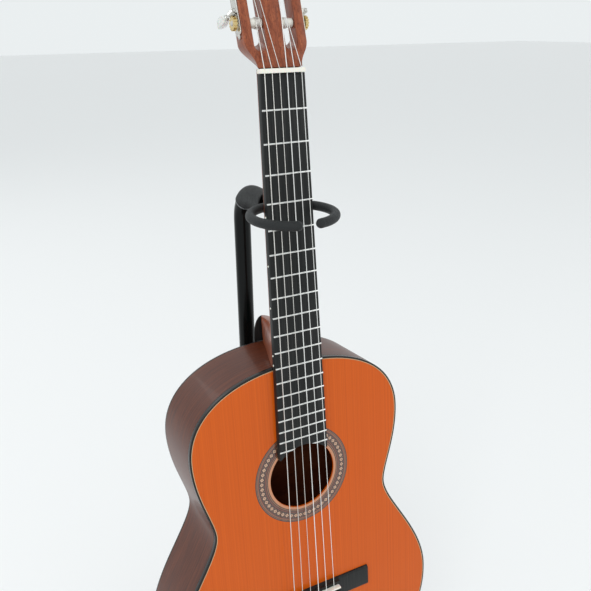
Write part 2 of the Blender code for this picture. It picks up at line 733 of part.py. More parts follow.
def add_roller(number, side, s, gear_start):
    """Turned from its end in the head's middle, through the slot and the plate, to its gear."""
    inner, outer = SLOT_OFFSET - SLOT_WIDTH / 2 + CLEAR, SLOT_OFFSET + SLOT_WIDTH / 2 - CLEAR
    profile = [
        (0, inner - AXLE_INSET), (AXLE_RADIUS, inner - AXLE_INSET),
        (AXLE_RADIUS, inner), (ROLLER_RADIUS, inner), (ROLLER_RADIUS, outer), (AXLE_RADIUS, outer),
        (AXLE_RADIUS, gear_start), (GEAR_RADIUS, gear_start),
        (GEAR_RADIUS, gear_start + GEAR_THICK), (0, gear_start + GEAR_THICK),
    ]
    profile = [(radius, side * x) for radius, x in profile]
    place = HEAD @ Matrix.Translation((0, ROLLER_DEPTH, s)) @ AROUND_X
    add(f"roller_{number}", turned(profile, 12), NICKEL, place)


def add_button(number, side, s, x):
    """The worm beside the gear, its shaft, and the oval button behind the head."""
    start = HEAD_THICK - ROLLER_DEPTH + BUTTON_GAP
    inside = start + BUTTON_LENGTH / 5
    profile = [
        (0, -WORM_HALF - WORM_STUB), (WORM_SHAFT, -WORM_HALF - WORM_STUB), (WORM_SHAFT, -WORM_HALF),
        (WORM_RADIUS, -WORM_HALF), (WORM_RADIUS, WORM_HALF), (WORM_SHAFT, WORM_HALF),
        (WORM_SHAFT, inside), (0, inside),
    ]
    place = HEAD @ Matrix.Translation((side * x, ROLLER_DEPTH, s)) @ AROUND_Y
    shaft = add(f"tuner_button_{number}", turned(profile, 8), PEARL, place)
    steps = 4
    sections = []
    for i in range(steps + 1):
        turn = math.pi * i / steps
        swell = max(math.sin(turn), BUTTON_NECK) ** BUTTON_ROUNDING
        z = start + BUTTON_LENGTH * (1 - math.cos(turn)) / 2
        ring = [2 * math.pi * k / 10 for k in range(10)]
        sections.append([
            (BUTTON_THICK / 2 * swell * math.cos(a), BUTTON_WIDTH / 2 * swell * math.sin(a), z) for a in ring
        ])
    combine(shaft, add(f"button_shape_{number}", loft(sections), PEARL, place), "UNION")


# ---- Stand ----

def azimuth(turn):
    """Unit vector on the floor: 0 is the front, and a positive turn goes towards +X."""
    return Vector((math.sin(turn), -math.cos(turn), 0))


POST = Vector((0, POST_Y, 0))
RING_CENTRE = Vector((0, POST_Y - POST_TO_NUT + RING_BACKSET, NUT_Z - RING_DROP))
RING_PIN = RING_CENTRE + Vector((0, RING_RADIUS, 0))
LEGS = (("front_left", -FRONT_SPREAD), ("front_right", FRONT_SPREAD), ("rear", math.pi))
LEG_SLOPE = math.atan2(HINGE_Z - LEG_END_HEIGHT, FOOT_REACH - HINGE_REACH)
FORK = LEG_RADIUS + CLEAR


def add_hub():
    """The casting that holds the post, with a fork for each leg."""
    height = HUB_HIGH - HUB_LOW
    hub = add("hub", turned([(0, 0), (HUB_RADIUS, 0), (HUB_RADIUS, height), (0, height)], 24), CAST,
              Matrix.Translation(POST + Vector((0, 0, HUB_LOW))))
    half = FORK + LUG_THICK
    for name, turn in LEGS:
        place = Matrix.Translation(POST + Vector((0, 0, HINGE_Z))) @ Matrix.Rotation(turn, 4, "Z")
        rise = LUG_RADIUS + LUG_RISE
        outline = [Vector((-HUB_RADIUS / 2, rise)), Vector((-HUB_RADIUS / 2, -rise))]
        outline += arc((-HINGE_REACH, 0), LUG_RADIUS, -math.pi / 2, -1.5 * math.pi, 8)
        sections = [[(x, y, z) for y, z in outline] for x in (-half, half)]
        combine(hub, add(f"fork_{name}", loft(sections), CAST, place), "UNION")
    for name, turn in LEGS:
        place = Matrix.Translation(POST + Vector((0, 0, HINGE_Z))) @ Matrix.Rotation(turn, 4, "Z")
        slot_end = -HUB_RADIUS - HUB_SLOT_GAP
        slot = box((-FORK, -2 * HINGE_REACH, -2 * LUG_RADIUS), (FORK, slot_end, 2 * LUG_RADIUS))
        combine(hub, add(f"fork_slot_{name}", slot, CAST, place))
        bore = rod(LEG_PIN + GAP, -2 * half, 2 * half, 16)
        place = place @ Matrix.Translation((0, -HINGE_REACH, 0)) @ AROUND_X
        combine(hub, add(f"fork_bore_{name}", bore, CAST, place))
    bore = rod(LOWER_RADIUS + GAP, HUB_LOW + HUB_FLOOR, HUB_HIGH + HUB_WALL, 24)
    combine(hub, add("post_bore", bore, CAST, Matrix.Translation(POST)))
    for name, side in (("left", -1), ("right", 1)):
        socket = sweep(cradle_path(side)[:2], CRADLE_ROD + GAP, sides=12)
        combine(hub, add(f"cradle_socket_{name}", socket, CAST))


def add_legs():
    for name, turn in LEGS:
        outward = azimuth(turn)
        hinge = POST + HINGE_REACH * outward + Vector((0, 0, HINGE_Z))
        along = math.cos(LEG_SLOPE) * outward - Vector((0, 0, math.sin(LEG_SLOPE)))
        across = outward.cross(Vector((0, 0, 1)))
        turned_to_leg = Matrix((outward, -across, Vector((0, 0, 1)))).transposed().to_4x4()
        place = Matrix.Translation(hinge) @ turned_to_leg
        slope = Vector((math.cos(LEG_SLOPE), 0, -math.sin(LEG_SLOPE)))
        length = (FOOT_REACH - HINGE_REACH) / math.cos(LEG_SLOPE)
        path = [-LEG_TOP * slope, length * slope]
        leg = add(f"leg_{name}", sweep(path, LEG_RADIUS, LEG_RADIUS - TUBE_WALL, 16), STEEL, place)
        bore = rod(LEG_PIN + CLEAR, -2 * LEG_RADIUS, 2 * LEG_RADIUS, 16)
        combine(leg, add(f"leg_bore_{name}", bore, STEEL, place @ Matrix.Rotation(math.pi / 2, 4, "X")))
        add_foot(name, hinge + length * along, place, length * slope, slope)
        add_leg_pin(name, place)


def add_foot(name, end, place, tip, slope):
    """A rubber foot with a flat bottom, over the end of the leg."""
    profile = [
        (0, 0), (FOOT_RADIUS - FOOT_EDGE, 0), (FOOT_RADIUS, 2 * FOOT_EDGE), (FOOT_RADIUS, FOOT_WALL_HEIGHT),
        (FOOT_CROWN, FOOT_HEIGHT), (0, FOOT_HEIGHT),
    ]
    foot = add(f"foot_{name}", turned(profile, 20), RUBBER, Matrix.Translation((end.x, end.y, 0)))
    socket = sweep([tip - 3 * FOOT_RADIUS * slope, tip + GAP * slope], LEG_RADIUS + GAP, sides=16)
    combine(foot, add(f"foot_socket_{name}", socket, RUBBER, place))


def add_leg_pin(name, place):
    half = FORK + LUG_THICK + GAP
    end = half + PIN_HEAD_THICK
    profile = [
        (0, -end), (PIN_HEAD, -end), (PIN_HEAD, -half), (LEG_PIN, -half),
        (LEG_PIN, half), (PIN_HEAD, half), (PIN_HEAD, end), (0, end),
    ]
    add(f"leg_pin_{name}", turned(profile, 12), ZINC, place @ Matrix.Rotation(math.pi / 2, 4, "X"))


def add_post():
    """Two telescoping tubes. The upper one bends forward to the neck ring."""
    inner = LOWER_RADIUS - TUBE_WALL
    lower = sweep([(0, 0, HUB_LOW + HUB_FLOOR + GAP), (0, 0, LOWER_TOP)], LOWER_RADIUS, inner, 24)
    add("post_lower", lower, STEEL, Matrix.Translation(POST))
    add("post_upper", sweep(upper_path(), POST_RADIUS, POST_RADIUS - TUBE_WALL, 16), STEEL)
    path = upper_path()
    radius = POST_RADIUS + CLEAR
    add("bend_sleeve", sweep(path[len(path) // 2:], radius + SLEEVE_THICK, radius, 16), FOAM)


def bend_points():
    centre = Vector((0, POST_Y - BEND_RADIUS, RING_CENTRE.z - BEND_RADIUS))
    return arc(centre, BEND_RADIUS, 0, math.pi / 2, 8, Vector((0, 1, 0)), Vector((0, 0, 1)))


def upper_path():
    bend = bend_points()
    start = Vector((0, POST_Y, UPPER_BOTTOM))
    end = Vector((0, RING_PIN.y + BLOCK_START + BLOCK_DEPTH, RING_CENTRE.z))
    return [start] + bend + [end]


def add_clamp():
    """The collar that locks the upper tube, and the star knob on its screw."""
    lower, upper = LOWER_RADIUS + CLEAR, POST_RADIUS + CLEAR
    step = LOWER_TOP + GAP
    profile = [
        (lower, COLLAR_LOW), (COLLAR_RADIUS, COLLAR_LOW), (COLLAR_RADIUS, COLLAR_HIGH),
        (upper, COLLAR_HIGH), (upper, step), (lower, step),
    ]
    collar = add("clamp_collar", turned(profile, 24, bored=True), CAST, Matrix.Translation(POST))
    boss_end = COLLAR_RADIUS + BOSS_REACH
    axis = Matrix.Translation((0, POST_Y, KNOB_Z)) @ AROUND_Y
    boss = rod(BOSS_RADIUS, upper + TUBE_WALL, boss_end, 16)
    combine(collar, add("knob_boss", boss, CAST, axis), "UNION")
    hole = rod(SCREW_RADIUS + CLEAR, 0, 2 * boss_end, 12)
    combine(collar, add("screw_hole", hole, CAST, axis))
    neck = boss_end + KNOB_GAP
    grip = neck + KNOB_GAP
    profile = [
        (0, POST_RADIUS + GAP), (SCREW_RADIUS, POST_RADIUS + GAP), (SCREW_RADIUS, neck), (KNOB_NECK, neck),
        (KNOB_NECK, grip + KNOB_GAP), (0, grip + KNOB_GAP),
    ]
    knob = add("clamp_knob", turned(profile, 16), KNOB, axis)
    outline = []
    for i in range(30):
        turn = 2 * math.pi * i / 30
        radius = KNOB_RADIUS * (1 - LOBE_DEPTH + LOBE_DEPTH * math.cos(KNOB_LOBES * turn))
        outline.append((radius * math.cos(turn), radius * math.sin(turn)))
    sections = [[(x, y, z) for x, y in outline] for z in (grip, grip + KNOB_THICK)]
    combine(knob, add("knob_star", loft(sections), KNOB, axis), "UNION")


def add_ring():
    """The block on the end of the tube with its pin, and the two arms that close round the neck."""
    lug_low = BLOCK_HEIGHT - BLOCK_LUG
    solid_end = BLOCK_START + BLOCK_DEPTH - GAP
    outline = [Vector((BLOCK_HALF, solid_end)), Vector((BLOCK_HALF, BLOCK_LUG))]
    outline += arc((0, 0), EYE_RADIUS, 0, -math.pi, 8)
    outline += [Vector((-BLOCK_HALF, BLOCK_LUG)), Vector((-BLOCK_HALF, solid_end))]
    sections = [[(x, y, z) for x, y in outline] for z in (-BLOCK_HEIGHT, BLOCK_HEIGHT)]
    place = Matrix.Translation(RING_PIN)
    block = add("ring_block", loft(sections), CAST, place)
    reach = 2 * BLOCK_HALF
    mouth = box((-reach, -reach, -lug_low), (reach, BLOCK_START, lug_low))
    combine(block, add("ring_mouth", mouth, CAST, place))
    pin = rod(PIN_RADIUS, -BLOCK_HEIGHT + PIN_RADIUS / 2, BLOCK_HEIGHT - PIN_RADIUS / 2, 16)
    combine(block, add("ring_pin", pin, CAST, place), "UNION")
    plug_start = BLOCK_START + BLOCK_DEPTH / 2
    plug = rod(POST_RADIUS - TUBE_WALL - GAP, plug_start, solid_end + PLUG_LENGTH, 20)
    combine(block, add("ring_plug", plug, CAST, place @ AROUND_Y), "UNION")
    eye_top = lug_low - GAP
    add_arm("left", -1, LEFT_TIP, GAP / 2, eye_top)
    add_arm("right", 1, RIGHT_TIP, -eye_top, -GAP / 2)


def add_arm(name, side, tip, low, high):
    """A bent bar with a round tip, and an eye for the pin between the heights low and high."""
    start = side * (math.pi - 2 * math.asin((EYE_RADIUS + EYE_GAP) / (2 * RING_RADIUS)))
    turns = [start + (tip - start) * i / 18 for i in range(19)]
    path = [RING_CENTRE + RING_RADIUS * azimuth(turn) for turn in turns]
    arm = add(f"ring_arm_{name}", sweep(path, RING_ROD, sides=10), FOAM)
    tip_ball = bmesh.new()
    bmesh.ops.create_uvsphere(tip_ball, u_segments=10, v_segments=6, radius=RING_ROD - TIP_INSET)
    combine(arm, add(f"ring_tip_{name}", tip_ball, FOAM, Matrix.Translation(path[-1])), "UNION")
    place = Matrix.Translation(RING_PIN)
    combine(arm, add(f"ring_eye_{name}", rod(EYE_RADIUS, low, high, 20), FOAM, place), "UNION")
    web = sweep([Vector((0, 0, 0)), path[1] - RING_PIN], WEB_RADIUS, sides=8)
    offset = Matrix.Translation((0, 0, (low + high) / 2))
    combine(arm, add(f"ring_web_{name}", web, FOAM, place @ offset), "UNION")
    bore = rod(PIN_RADIUS + CLEAR, -2 * BLOCK_HEIGHT, 2 * BLOCK_HEIGHT, 16)
    combine(arm, add(f"ring_eye_bore_{name}", bore, FOAM, place))


# ---- Cradle ----

def cradle_axis(side):
    """The pad's front and back ends, on the line that touches the guitar's lower edge."""
    half = half_outline()
    for one, other in zip(half[-2::-1], half[:0:-1]):
        if one.x > CRADLE_REACH:
            break
    share = (CRADLE_REACH - other.x) / (one.x - other.x)
    along = (other - one).normalized()
    centre = other + share * (one - other) + (PAD_RADIUS + GAP) * Vector((-along.y, along.x))
    front = GUITAR @ Vector((side * centre.x, BOARD_THICK - PAD_OVERHANG, centre.y))
    back = GUITAR @ Vector((side * centre.x, back_face(BODY_BOTTOM) + PAD_OVERHANG, centre.y))
    return front, back


def cradle_path(side):
    """From inside the hub out to the side, forward under the guitar, and up in front of it."""
    front, back = cradle_axis(side)
    forward = (front - back).normalized()
    root = Vector((side * (HUB_RADIUS - ROOT_DEPTH), POST_Y - ROOT_SHIFT, HUB_HIGH - ROOT_DROP))
    elbow = back - ELBOW_BEND * forward
    tip_base = front + TIP_BEND * forward
    up = GUITAR.to_3x3() @ Vector((0, 0, 1))
    outward = (elbow - root).normalized()
    before, after = elbow - ELBOW_BEND * outward, elbow + ELBOW_BEND * forward
    path = [root, before] + curve_between(before, elbow, after) + [after]
    path += [front] + curve_between(front, tip_base, tip_base + TIP_BEND * up)
    return path + [tip_base + TIP_BEND * up, tip_base + TIP_RISE * up]


def curve_between(start, corner, end, steps=5):
    """Points inside a rounded corner."""
    points = []
    for i in range(1, steps):
        t = i / steps
        points.append((1 - t) ** 2 * start + 2 * t * (1 - t) * corner + t * t * end)
    return points


def add_cradle():
    for name, side in (("left", -1), ("right", 1)):
        add(f"cradle_arm_{name}", sweep(cradle_path(side), CRADLE_ROD, sides=12), STEEL)
        front, back = cradle_axis(side)
        pad = sweep([front, back], PAD_RADIUS, CRADLE_ROD + GAP, 20)
        add(f"cradle_pad_{name}", pad, FOAM)


# ---- Build ----

for old in list(bpy.data.objects):
    bpy.data.objects.remove(old)

SPRUCE = material("spruce_top", (0.72, 0.25, 0.06), 0, 0.15)
MAHOGANY = material("dark_mahogany", (0.10, 0.035, 0.025), 0, 0.15)
NATO = material("neck_wood", (0.25, 0.08, 0.045), 0, 0.3)
ROSEWOOD = material("dark_rosewood", (0.03, 0.025, 0.025), 0, 0.5)
CEDAR = material("lining_wood", (0.5, 0.33, 0.18), 0, 0.7)
BLACK = material("black_binding", (0.01, 0.01, 0.01), 0, 0.25)
BONE = material("bone", (0.85, 0.82, 0.74), 0, 0.35)
NYLON = material("string", (0.75, 0.74, 0.70), 0.2, 0.3)
NICKEL = material("nickel", (0.75, 0.72, 0.65), 1, 0.25)
PEARL = material("pearl_plastic", (0.80, 0.80, 0.76), 0, 0.2)
STEEL = material("black_steel", (0.015, 0.015, 0.016), 0.3, 0.35)
CAST = material("cast_black", (0.02, 0.02, 0.02), 0.2, 0.5)
FOAM = material("black_foam", (0.025, 0.025, 0.027), 0, 0.8)
RUBBER = material("foot_rubber", (0.03, 0.03, 0.03), 0, 0.7)
ZINC = material("zinc_pin", (0.55, 0.56, 0.58), 1, 0.35)
KNOB = material("knob_plastic", (0.02, 0.02, 0.02), 0, 0.4)

add_body()
add_fingerboard()
add_neck()
add_nut()
add_bridge()
add_strings()
add_head()
add_machines()
add_hub()
add_legs()
add_post()
add_clamp()
add_ring()
add_cradle()
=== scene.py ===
"""Looks for a classical guitar that leans in a tubular floor stand. Metres, +Z up, the guitar faces -Y."""
import math

import bmesh
import bpy
from mathutils import Matrix, Vector


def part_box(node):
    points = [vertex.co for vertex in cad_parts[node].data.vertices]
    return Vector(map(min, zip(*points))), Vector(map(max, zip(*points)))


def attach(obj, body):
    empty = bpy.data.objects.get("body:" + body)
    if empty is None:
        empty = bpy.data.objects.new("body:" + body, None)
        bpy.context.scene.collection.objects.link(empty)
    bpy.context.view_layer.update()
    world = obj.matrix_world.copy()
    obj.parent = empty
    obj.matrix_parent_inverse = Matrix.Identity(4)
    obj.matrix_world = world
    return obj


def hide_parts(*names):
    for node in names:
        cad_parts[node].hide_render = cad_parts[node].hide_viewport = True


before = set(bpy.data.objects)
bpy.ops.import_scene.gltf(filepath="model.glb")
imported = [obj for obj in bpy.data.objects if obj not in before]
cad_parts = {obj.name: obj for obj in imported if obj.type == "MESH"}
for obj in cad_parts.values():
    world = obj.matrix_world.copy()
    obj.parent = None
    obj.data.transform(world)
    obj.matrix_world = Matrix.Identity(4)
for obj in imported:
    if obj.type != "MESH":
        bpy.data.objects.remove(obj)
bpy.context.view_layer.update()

# ---- Sizes, as in the model that this dresses ----
SCALE = 0.650
BOARD = 0.0075          # thickness of the fingerboard
BODY_TOP = -SCALE / 2
BODY_LENGTH = 0.489
BODY_BOTTOM = BODY_TOP - BODY_LENGTH
UPPER_BOUT, UPPER_DROP = 0.283, 0.0944
WAIST, WAIST_DROP = 0.2406, 0.1979
LOWER_BOUT, LOWER_DROP = 0.3736, 0.3598
HEEL_DEPTH, TAIL_DEPTH = 0.092, 0.100
BACK_THICK = 0.003
BINDING_DEPTH, BINDING_WIDTH, PURFLING_WIDTH = 0.006, 0.0021, 0.0007
HOLE_RADIUS = 0.044
HOLE_Z = BODY_TOP - 0.1506
ROSETTE_START, ROSETTE_WIDTH, TILES = HOLE_RADIUS, 0.0205, 54
NUT_WIDTH, JOINT_WIDTH = 0.052, 0.062
NUT_LENGTH = 0.005
NUT_SPREAD, SADDLE_SPREAD = 0.043, 0.058    # of the outer strings
NUT_STRING_Y = -0.0017
STRING_RADII = (0.00036, 0.00041, 0.00051, 0.00037, 0.00045, 0.00055)
SADDLE_Z = -SCALE - 0.001
SADDLE_TOP = -0.0074
HEAD_TILT = math.radians(14)
HEAD_THICK = 0.018
SLOT_OFFSET, SLOT_WIDTH, SLOT_START = 0.018, 0.015, 0.016
ROLLER_DEPTH = 0.0078
FIRST_ROLLER, ROLLER_PITCH = 0.048, 0.035
DRUM_RADIUS, AXLE_RADIUS, AXLE_BORE = 0.005, 0.003, 0.0034
PLATE_SIDE = 0.0363     # inner face of a tuner plate from the head's middle
PLATE_THICK = 0.0012
GEAR_SIDE = PLATE_SIDE + 0.003
GEAR_THICK, GEAR_TEETH = 0.0035, 14
GEAR_ROOT, GEAR_RADIUS = 0.0062, 0.0074
WORM_ROOT, WORM_RADIUS, WORM_TURNS = 0.0020, 0.0031, 6
WORM_RISE = 0.011       # of each worm above its gear
SLOT_RAMP = 0.012       # of a slot's lower end, from the head's face to its back
LEAN = math.radians(5.3)
POST_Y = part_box("post_upper")[1][1] - 0.0105
POST = Vector((0, POST_Y, 0))
NUT = Vector((0.0043, POST_Y - 0.113, 1.010))
RING_CENTRE = Vector((0, NUT.y - 0.0274, NUT.z - 0.144))
RING_RADIUS, RING_ROD = 0.046, 0.00525
POST_RADIUS, LOWER_RADIUS = 0.0105, 0.0127
BEND_RADIUS = 0.040
CLAMP_LOW, CLAMP_HIGH, CLAMP_RADIUS, KNOB_Z = 0.526, 0.582, 0.019, 0.563
KNOB_RADIUS, KNOB_LOBES = 0.0168, 5
HUB_LOW, HUB_HIGH, HUB_RADIUS = 0.150, 0.214, 0.020
HINGE_OUT, HINGE_Z = 0.034, 0.172       # from the post's axis and from the floor
LEG_REACH, LEG_END_Z, LEG_RADIUS = 0.290, 0.0108, 0.008
CRADLE_ROD, PAD_RADIUS = 0.005, 0.0108
QUARTER = 0.5523        # handle length of a quarter circle, as a share of its radius

GUITAR = Matrix.Translation(NUT) @ Matrix.Rotation(-LEAN, 4, "X")
HEAD_START = NUT_LENGTH + 0.003 * math.tan(HEAD_TILT)
HEAD = GUITAR @ Matrix.Translation((0, 0.0045, HEAD_START)) @ Matrix.Rotation(-HEAD_TILT, 4, "X")
WORLD = Matrix()
ALONG_X = Matrix.Rotation(math.pi / 2, 4, "Y")
ALONG_Y = Matrix.Rotation(-math.pi / 2, 4, "X")


# ---- Modelling helpers ----

def deselect():
    if bpy.context.object and bpy.context.object.mode != "OBJECT":
        bpy.ops.object.mode_set(mode="OBJECT")
    bpy.ops.object.select_all(action="DESELECT")


def choose(piece):
    deselect()
    piece.select_set(True)
    bpy.context.view_layer.objects.active = piece


def pick(piece, test, kind="faces"):
    """In edit mode, selects the faces, edges or vertices for which test(centre, normal) holds."""
    if piece.mode != "EDIT":
        choose(piece)
        bpy.ops.object.mode_set(mode="EDIT")
    bpy.ops.mesh.select_mode(type={"faces": "FACE", "edges": "EDGE", "verts": "VERT"}[kind])
    bpy.ops.mesh.select_all(action="DESELECT")
    mesh = bmesh.from_edit_mesh(piece.data)
    for item in getattr(mesh, kind):
        if kind == "faces":
            item.select_set(bool(test(item.calc_center_median(), item.normal)))
        elif kind == "edges":
            item.select_set(bool(test((item.verts[0].co + item.verts[1].co) / 2, item)))
        else:
            item.select_set(bool(test(item.co, item.normal)))
    bmesh.update_edit_mesh(piece.data)


def everything(*_):
    return True


def extrude(shift):
    bpy.ops.mesh.extrude_region_move(TRANSFORM_OT_translate={"value": shift})


def apply_place(piece):
    choose(piece)
    bpy.ops.object.transform_apply(location=True, rotation=True, scale=True)
    return piece


def modify(piece, kind, **settings):
    """Adds a modifier, sets it and applies it."""
    choose(piece)
    bpy.ops.object.modifier_add(type=kind)
    modifier = piece.modifiers[-1]
    for key, value in settings.items():
        setattr(modifier, key, value)
    bpy.ops.object.modifier_apply(modifier=modifier.name)
    return piece


def cut(piece, cutter, operation="DIFFERENCE"):
    modify(piece, "BOOLEAN", object=cutter, operation=operation, solver="EXACT")
    bpy.data.objects.remove(cutter)
    return piece


def round_edges(piece, width, segments=3, angle=35):
    return modify(piece, "BEVEL", width=width, segments=segments, limit_method="ANGLE",
                  angle_limit=math.radians(angle), harden_normals=False)


def outward(piece):
    pick(piece, everything)
    bpy.ops.mesh.remove_doubles(threshold=0.000005)
    bpy.ops.mesh.normals_make_consistent(inside=False)
    deselect()
    return piece


def move(piece, matrix):
    piece.data.transform(matrix)
    return piece


def copy_of(piece):
    choose(piece)
    bpy.ops.object.duplicate()
    return bpy.context.object


def done(piece, name, finish, body, place=GUITAR, nodes=(), smooth=30):
    """Names a piece, sets it in its place in the frame, and gives it its finish and body."""
    move(piece, place)
    piece.name = piece.data.name = name
    piece.data.materials.clear()
    piece.data.materials.append(finish)
    choose(piece)
    bpy.ops.object.shade_smooth_by_angle(angle=math.radians(smooth))
    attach(piece, body)
    if nodes:
        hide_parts(*nodes)
    return piece


def block(low, high):
    """A box between two corners, to be shaped."""
    deselect()
    middle = (Vector(low) + Vector(high)) / 2
    bpy.ops.mesh.primitive_cube_add(size=1, location=middle)
    piece = bpy.context.object
    piece.scale = Vector(high) - Vector(low)
    return apply_place(piece)


def turn(profile, sides=48, axis=WORLD):
    """A turned piece about Z, through (radius, height) points, extruded ring by ring."""
    deselect()
    radius, height = profile[0]
    bpy.ops.mesh.primitive_circle_add(vertices=sides, radius=radius, fill_type="NGON",
        location=(0, 0, height))
    piece = apply_place(bpy.context.object)
    pick(piece, everything)
    for (r0, h0), (r1, h1) in zip(profile, profile[1:]):
        extrude((0, 0, h1 - h0))
        bpy.ops.transform.resize(value=(r1 / r0, r1 / r0, 1), center_override=(0, 0, h1))
    return move(outward(piece), axis)


def outline(knots, steps=24, fill=True):
    """A flat shape in XZ from Bezier knots, each a point with its handles before and after it."""
    deselect()
    bpy.ops.curve.primitive_bezier_circle_add()
    piece = bpy.context.object
    curve = piece.data
    curve.dimensions = "3D"
    curve.resolution_u = steps
    points = curve.splines[0].bezier_points
    points.add(len(knots) - len(points))
    for point, (at, before, after) in zip(points, knots):
        point.handle_left_type = point.handle_right_type = "FREE"
        point.co = (at[0], 0, at[1])
        point.handle_left = (at[0] + before[0], 0, at[1] + before[1])
        point.handle_right = (at[0] + after[0], 0, at[1] + after[1])
    bpy.ops.object.convert(target="MESH")
    piece = bpy.context.object
    pick(piece, everything, "verts")
    bpy.ops.mesh.remove_doubles(threshold=0.000005)
    if fill:
        bpy.ops.mesh.edge_face_add()
    deselect()
    return piece


def slab(piece, front, back):
    """Gives a flat shape in XZ its thickness."""
    move(piece, Matrix.Translation((0, front, 0)))
    pick(piece, everything)
    extrude((0, back - front, 0))
    return outward(piece)


def pipe(corners, radius, bend=0.0, sides=6):
    """A round bar through corner points, each inner corner rounded to a bend radius."""
    corners = [Vector(corner) for corner in corners]
    knots = [(corners[0], Vector(), Vector())]
    for before, corner, after in zip(corners, corners[1:], corners[2:]):
        come, go = (corner - before).normalized(), (after - corner).normalized()
        angle = come.angle(go)
        reach = min(bend * math.tan(angle / 2), 0.49 * (corner - before).length,
            0.49 * (after - corner).length)
        grip = 4 / 3 * math.tan(angle / 4) * reach / math.tan(angle / 2)
        knots.append((corner - reach * come, -grip * come, grip * come))
        knots.append((corner + reach * go, -grip * go, grip * go))
    knots.append((corners[-1], Vector(), Vector()))
    return bar(knots, radius, sides)


def bar(knots, radius, sides=6, steps=12, auto=False):
    """A round bar along a Bezier curve."""
    deselect()
    bpy.ops.curve.primitive_bezier_curve_add()
    piece = bpy.context.object
    curve = piece.data
    curve.bevel_depth = radius
    curve.bevel_resolution = sides
    curve.use_fill_caps = True
    curve.resolution_u = steps
    curve.twist_mode = "MINIMUM"
    points = curve.splines[0].bezier_points
    points.add(len(knots) - len(points))
    for point, (at, before, after) in zip(points, knots):
        point.co = at
        if auto:
            point.handle_left_type = point.handle_right_type = "AUTO"
        else:
            point.handle_left_type = point.handle_right_type = "FREE"
            point.handle_left, point.handle_right = at + before, at + after
    bpy.ops.object.convert(target="MESH")
    return outward(bpy.context.object)


def smooth_bar(points, radius, sides=4, steps=8):
    return bar([(Vector(point), None, None) for point in points], radius, sides, steps, auto=True)


def dome_end(piece, at, along, radius, steps=4):
    """Rounds the flat end of a bar, around a point on its axis."""
    at, along = Vector(at), Vector(along).normalized()
    pick(piece, lambda centre, normal: normal.dot(along) > 0.97 and (centre - at).length < radius)
    reach, size = 0.0, 1.0
    for i in range(1, steps + 1):
        turned = math.pi / 2 * i / (steps + 0.3)
        extrude(tuple(along * radius * (math.sin(turned) - reach)))
        reach = math.sin(turned)
        now = math.cos(turned)
        bpy.ops.transform.resize(value=(now / size,) * 3, center_override=tuple(at + along * radius * reach))
        size = now
    return outward(piece)


# ---- Finishes ----

def node(tree, kind, inputs=None, **settings):
    made = tree.nodes.new("ShaderNode" + kind)
    for key, value in settings.items():
        setattr(made, key, value)
    for key, value in (inputs or {}).items():
        if isinstance(value, bpy.types.NodeSocket):
            tree.links.new(value, made.inputs[key])
        else:
            made.inputs[key].default_value = value
    return made


def shades(tree, value, *stops, interpolation="LINEAR"):
    """A colour ramp over a value, from (position, (r, g, b)) stops."""
    ramp = node(tree, "ValToRGB", {"Fac": value})
    ramp.color_ramp.interpolation = interpolation
    elements = ramp.color_ramp.elements
    while len(elements) < len(stops):
        elements.new(1.0)
    for element, (position, color) in zip(elements, stops):
        element.position = position
        element.color = (*color, 1)
    return ramp.outputs["Color"]


def mixed(tree, factor, first, second):
    made = node(tree, "Mix", data_type="RGBA")
    for index, value in ((0, factor), (6, first), (7, second)):
        if isinstance(value, bpy.types.NodeSocket):
            tree.links.new(value, made.inputs[index])
        else:
            made.inputs[index].default_value = value if index == 0 else (*value, 1)
    return made.outputs[2]


def figure(tree, operation, first, second=0.0):
    made = node(tree, "Math", operation=operation)
    for index, value in ((0, first), (1, second)):
        if isinstance(value, bpy.types.NodeSocket):
            tree.links.new(value, made.inputs[index])
        else:
            made.inputs[index].default_value = value
    return made.outputs[0]


def times(tree, first, second):
    return figure(tree, "MULTIPLY", first, second)


def noise(tree, where, scale, detail=3.0, roughness=0.5, distortion=0.0):
    inputs = {"Vector": where, "Scale": scale, "Detail": detail, "Roughness": roughness,
        "Distortion": distortion}
    return node(tree, "TexNoise", inputs).outputs["Fac"]


def upright(tree, stretch=(1, 1, 1), origin=(0, 0, 0)):
    """Coordinates that stand along the leaning guitar, in metres from a point on it, then stretched."""
    place = Matrix.Rotation(LEAN, 4, "X") @ Matrix.Translation(-(GUITAR @ Vector(origin)))
    coords = node(tree, "TexCoord").outputs["Object"]
    turned = node(tree, "Mapping", {"Vector": coords, "Rotation": (LEAN, 0, 0),
        "Location": place.translation})
    return node(tree, "Mapping", {"Vector": turned.outputs[0], "Scale": stretch}).outputs[0]


def plain(tree, stretch=(1, 1, 1)):
    coords = node(tree, "TexCoord").outputs["Object"]
    return node(tree, "Mapping", {"Vector": coords, "Scale": stretch}).outputs[0]


def finish(name, roughness, metallic=0.0, **sockets):
    """A new material and its shader."""
    made = bpy.data.materials.new(name)
    made.use_nodes = True
    tree = made.node_tree
    shader = tree.nodes["Principled BSDF"]
    shader.inputs["Roughness"].default_value = roughness
    shader.inputs["Metallic"].default_value = metallic
    for key, value in sockets.items():
        shader.inputs[key.replace("_", " ")].default_value = value
    return made, tree, shader


def connect(tree, shader, color, height=None, strength=0.2, distance=0.0005, roughness=None):
    tree.links.new(color, shader.inputs["Base Color"])
    if roughness is not None:
        tree.links.new(roughness, shader.inputs["Roughness"])
    if height is not None:
        bump = node(tree, "Bump", {"Height": height, "Strength": strength, "Distance": distance})
        tree.links.new(bump.outputs[0], shader.inputs["Normal"])


def ranged(tree, value, low, high):
    made = node(tree, "MapRange", {"Value": value, "To Min": low, "To Max": high})
    return made.outputs[0]


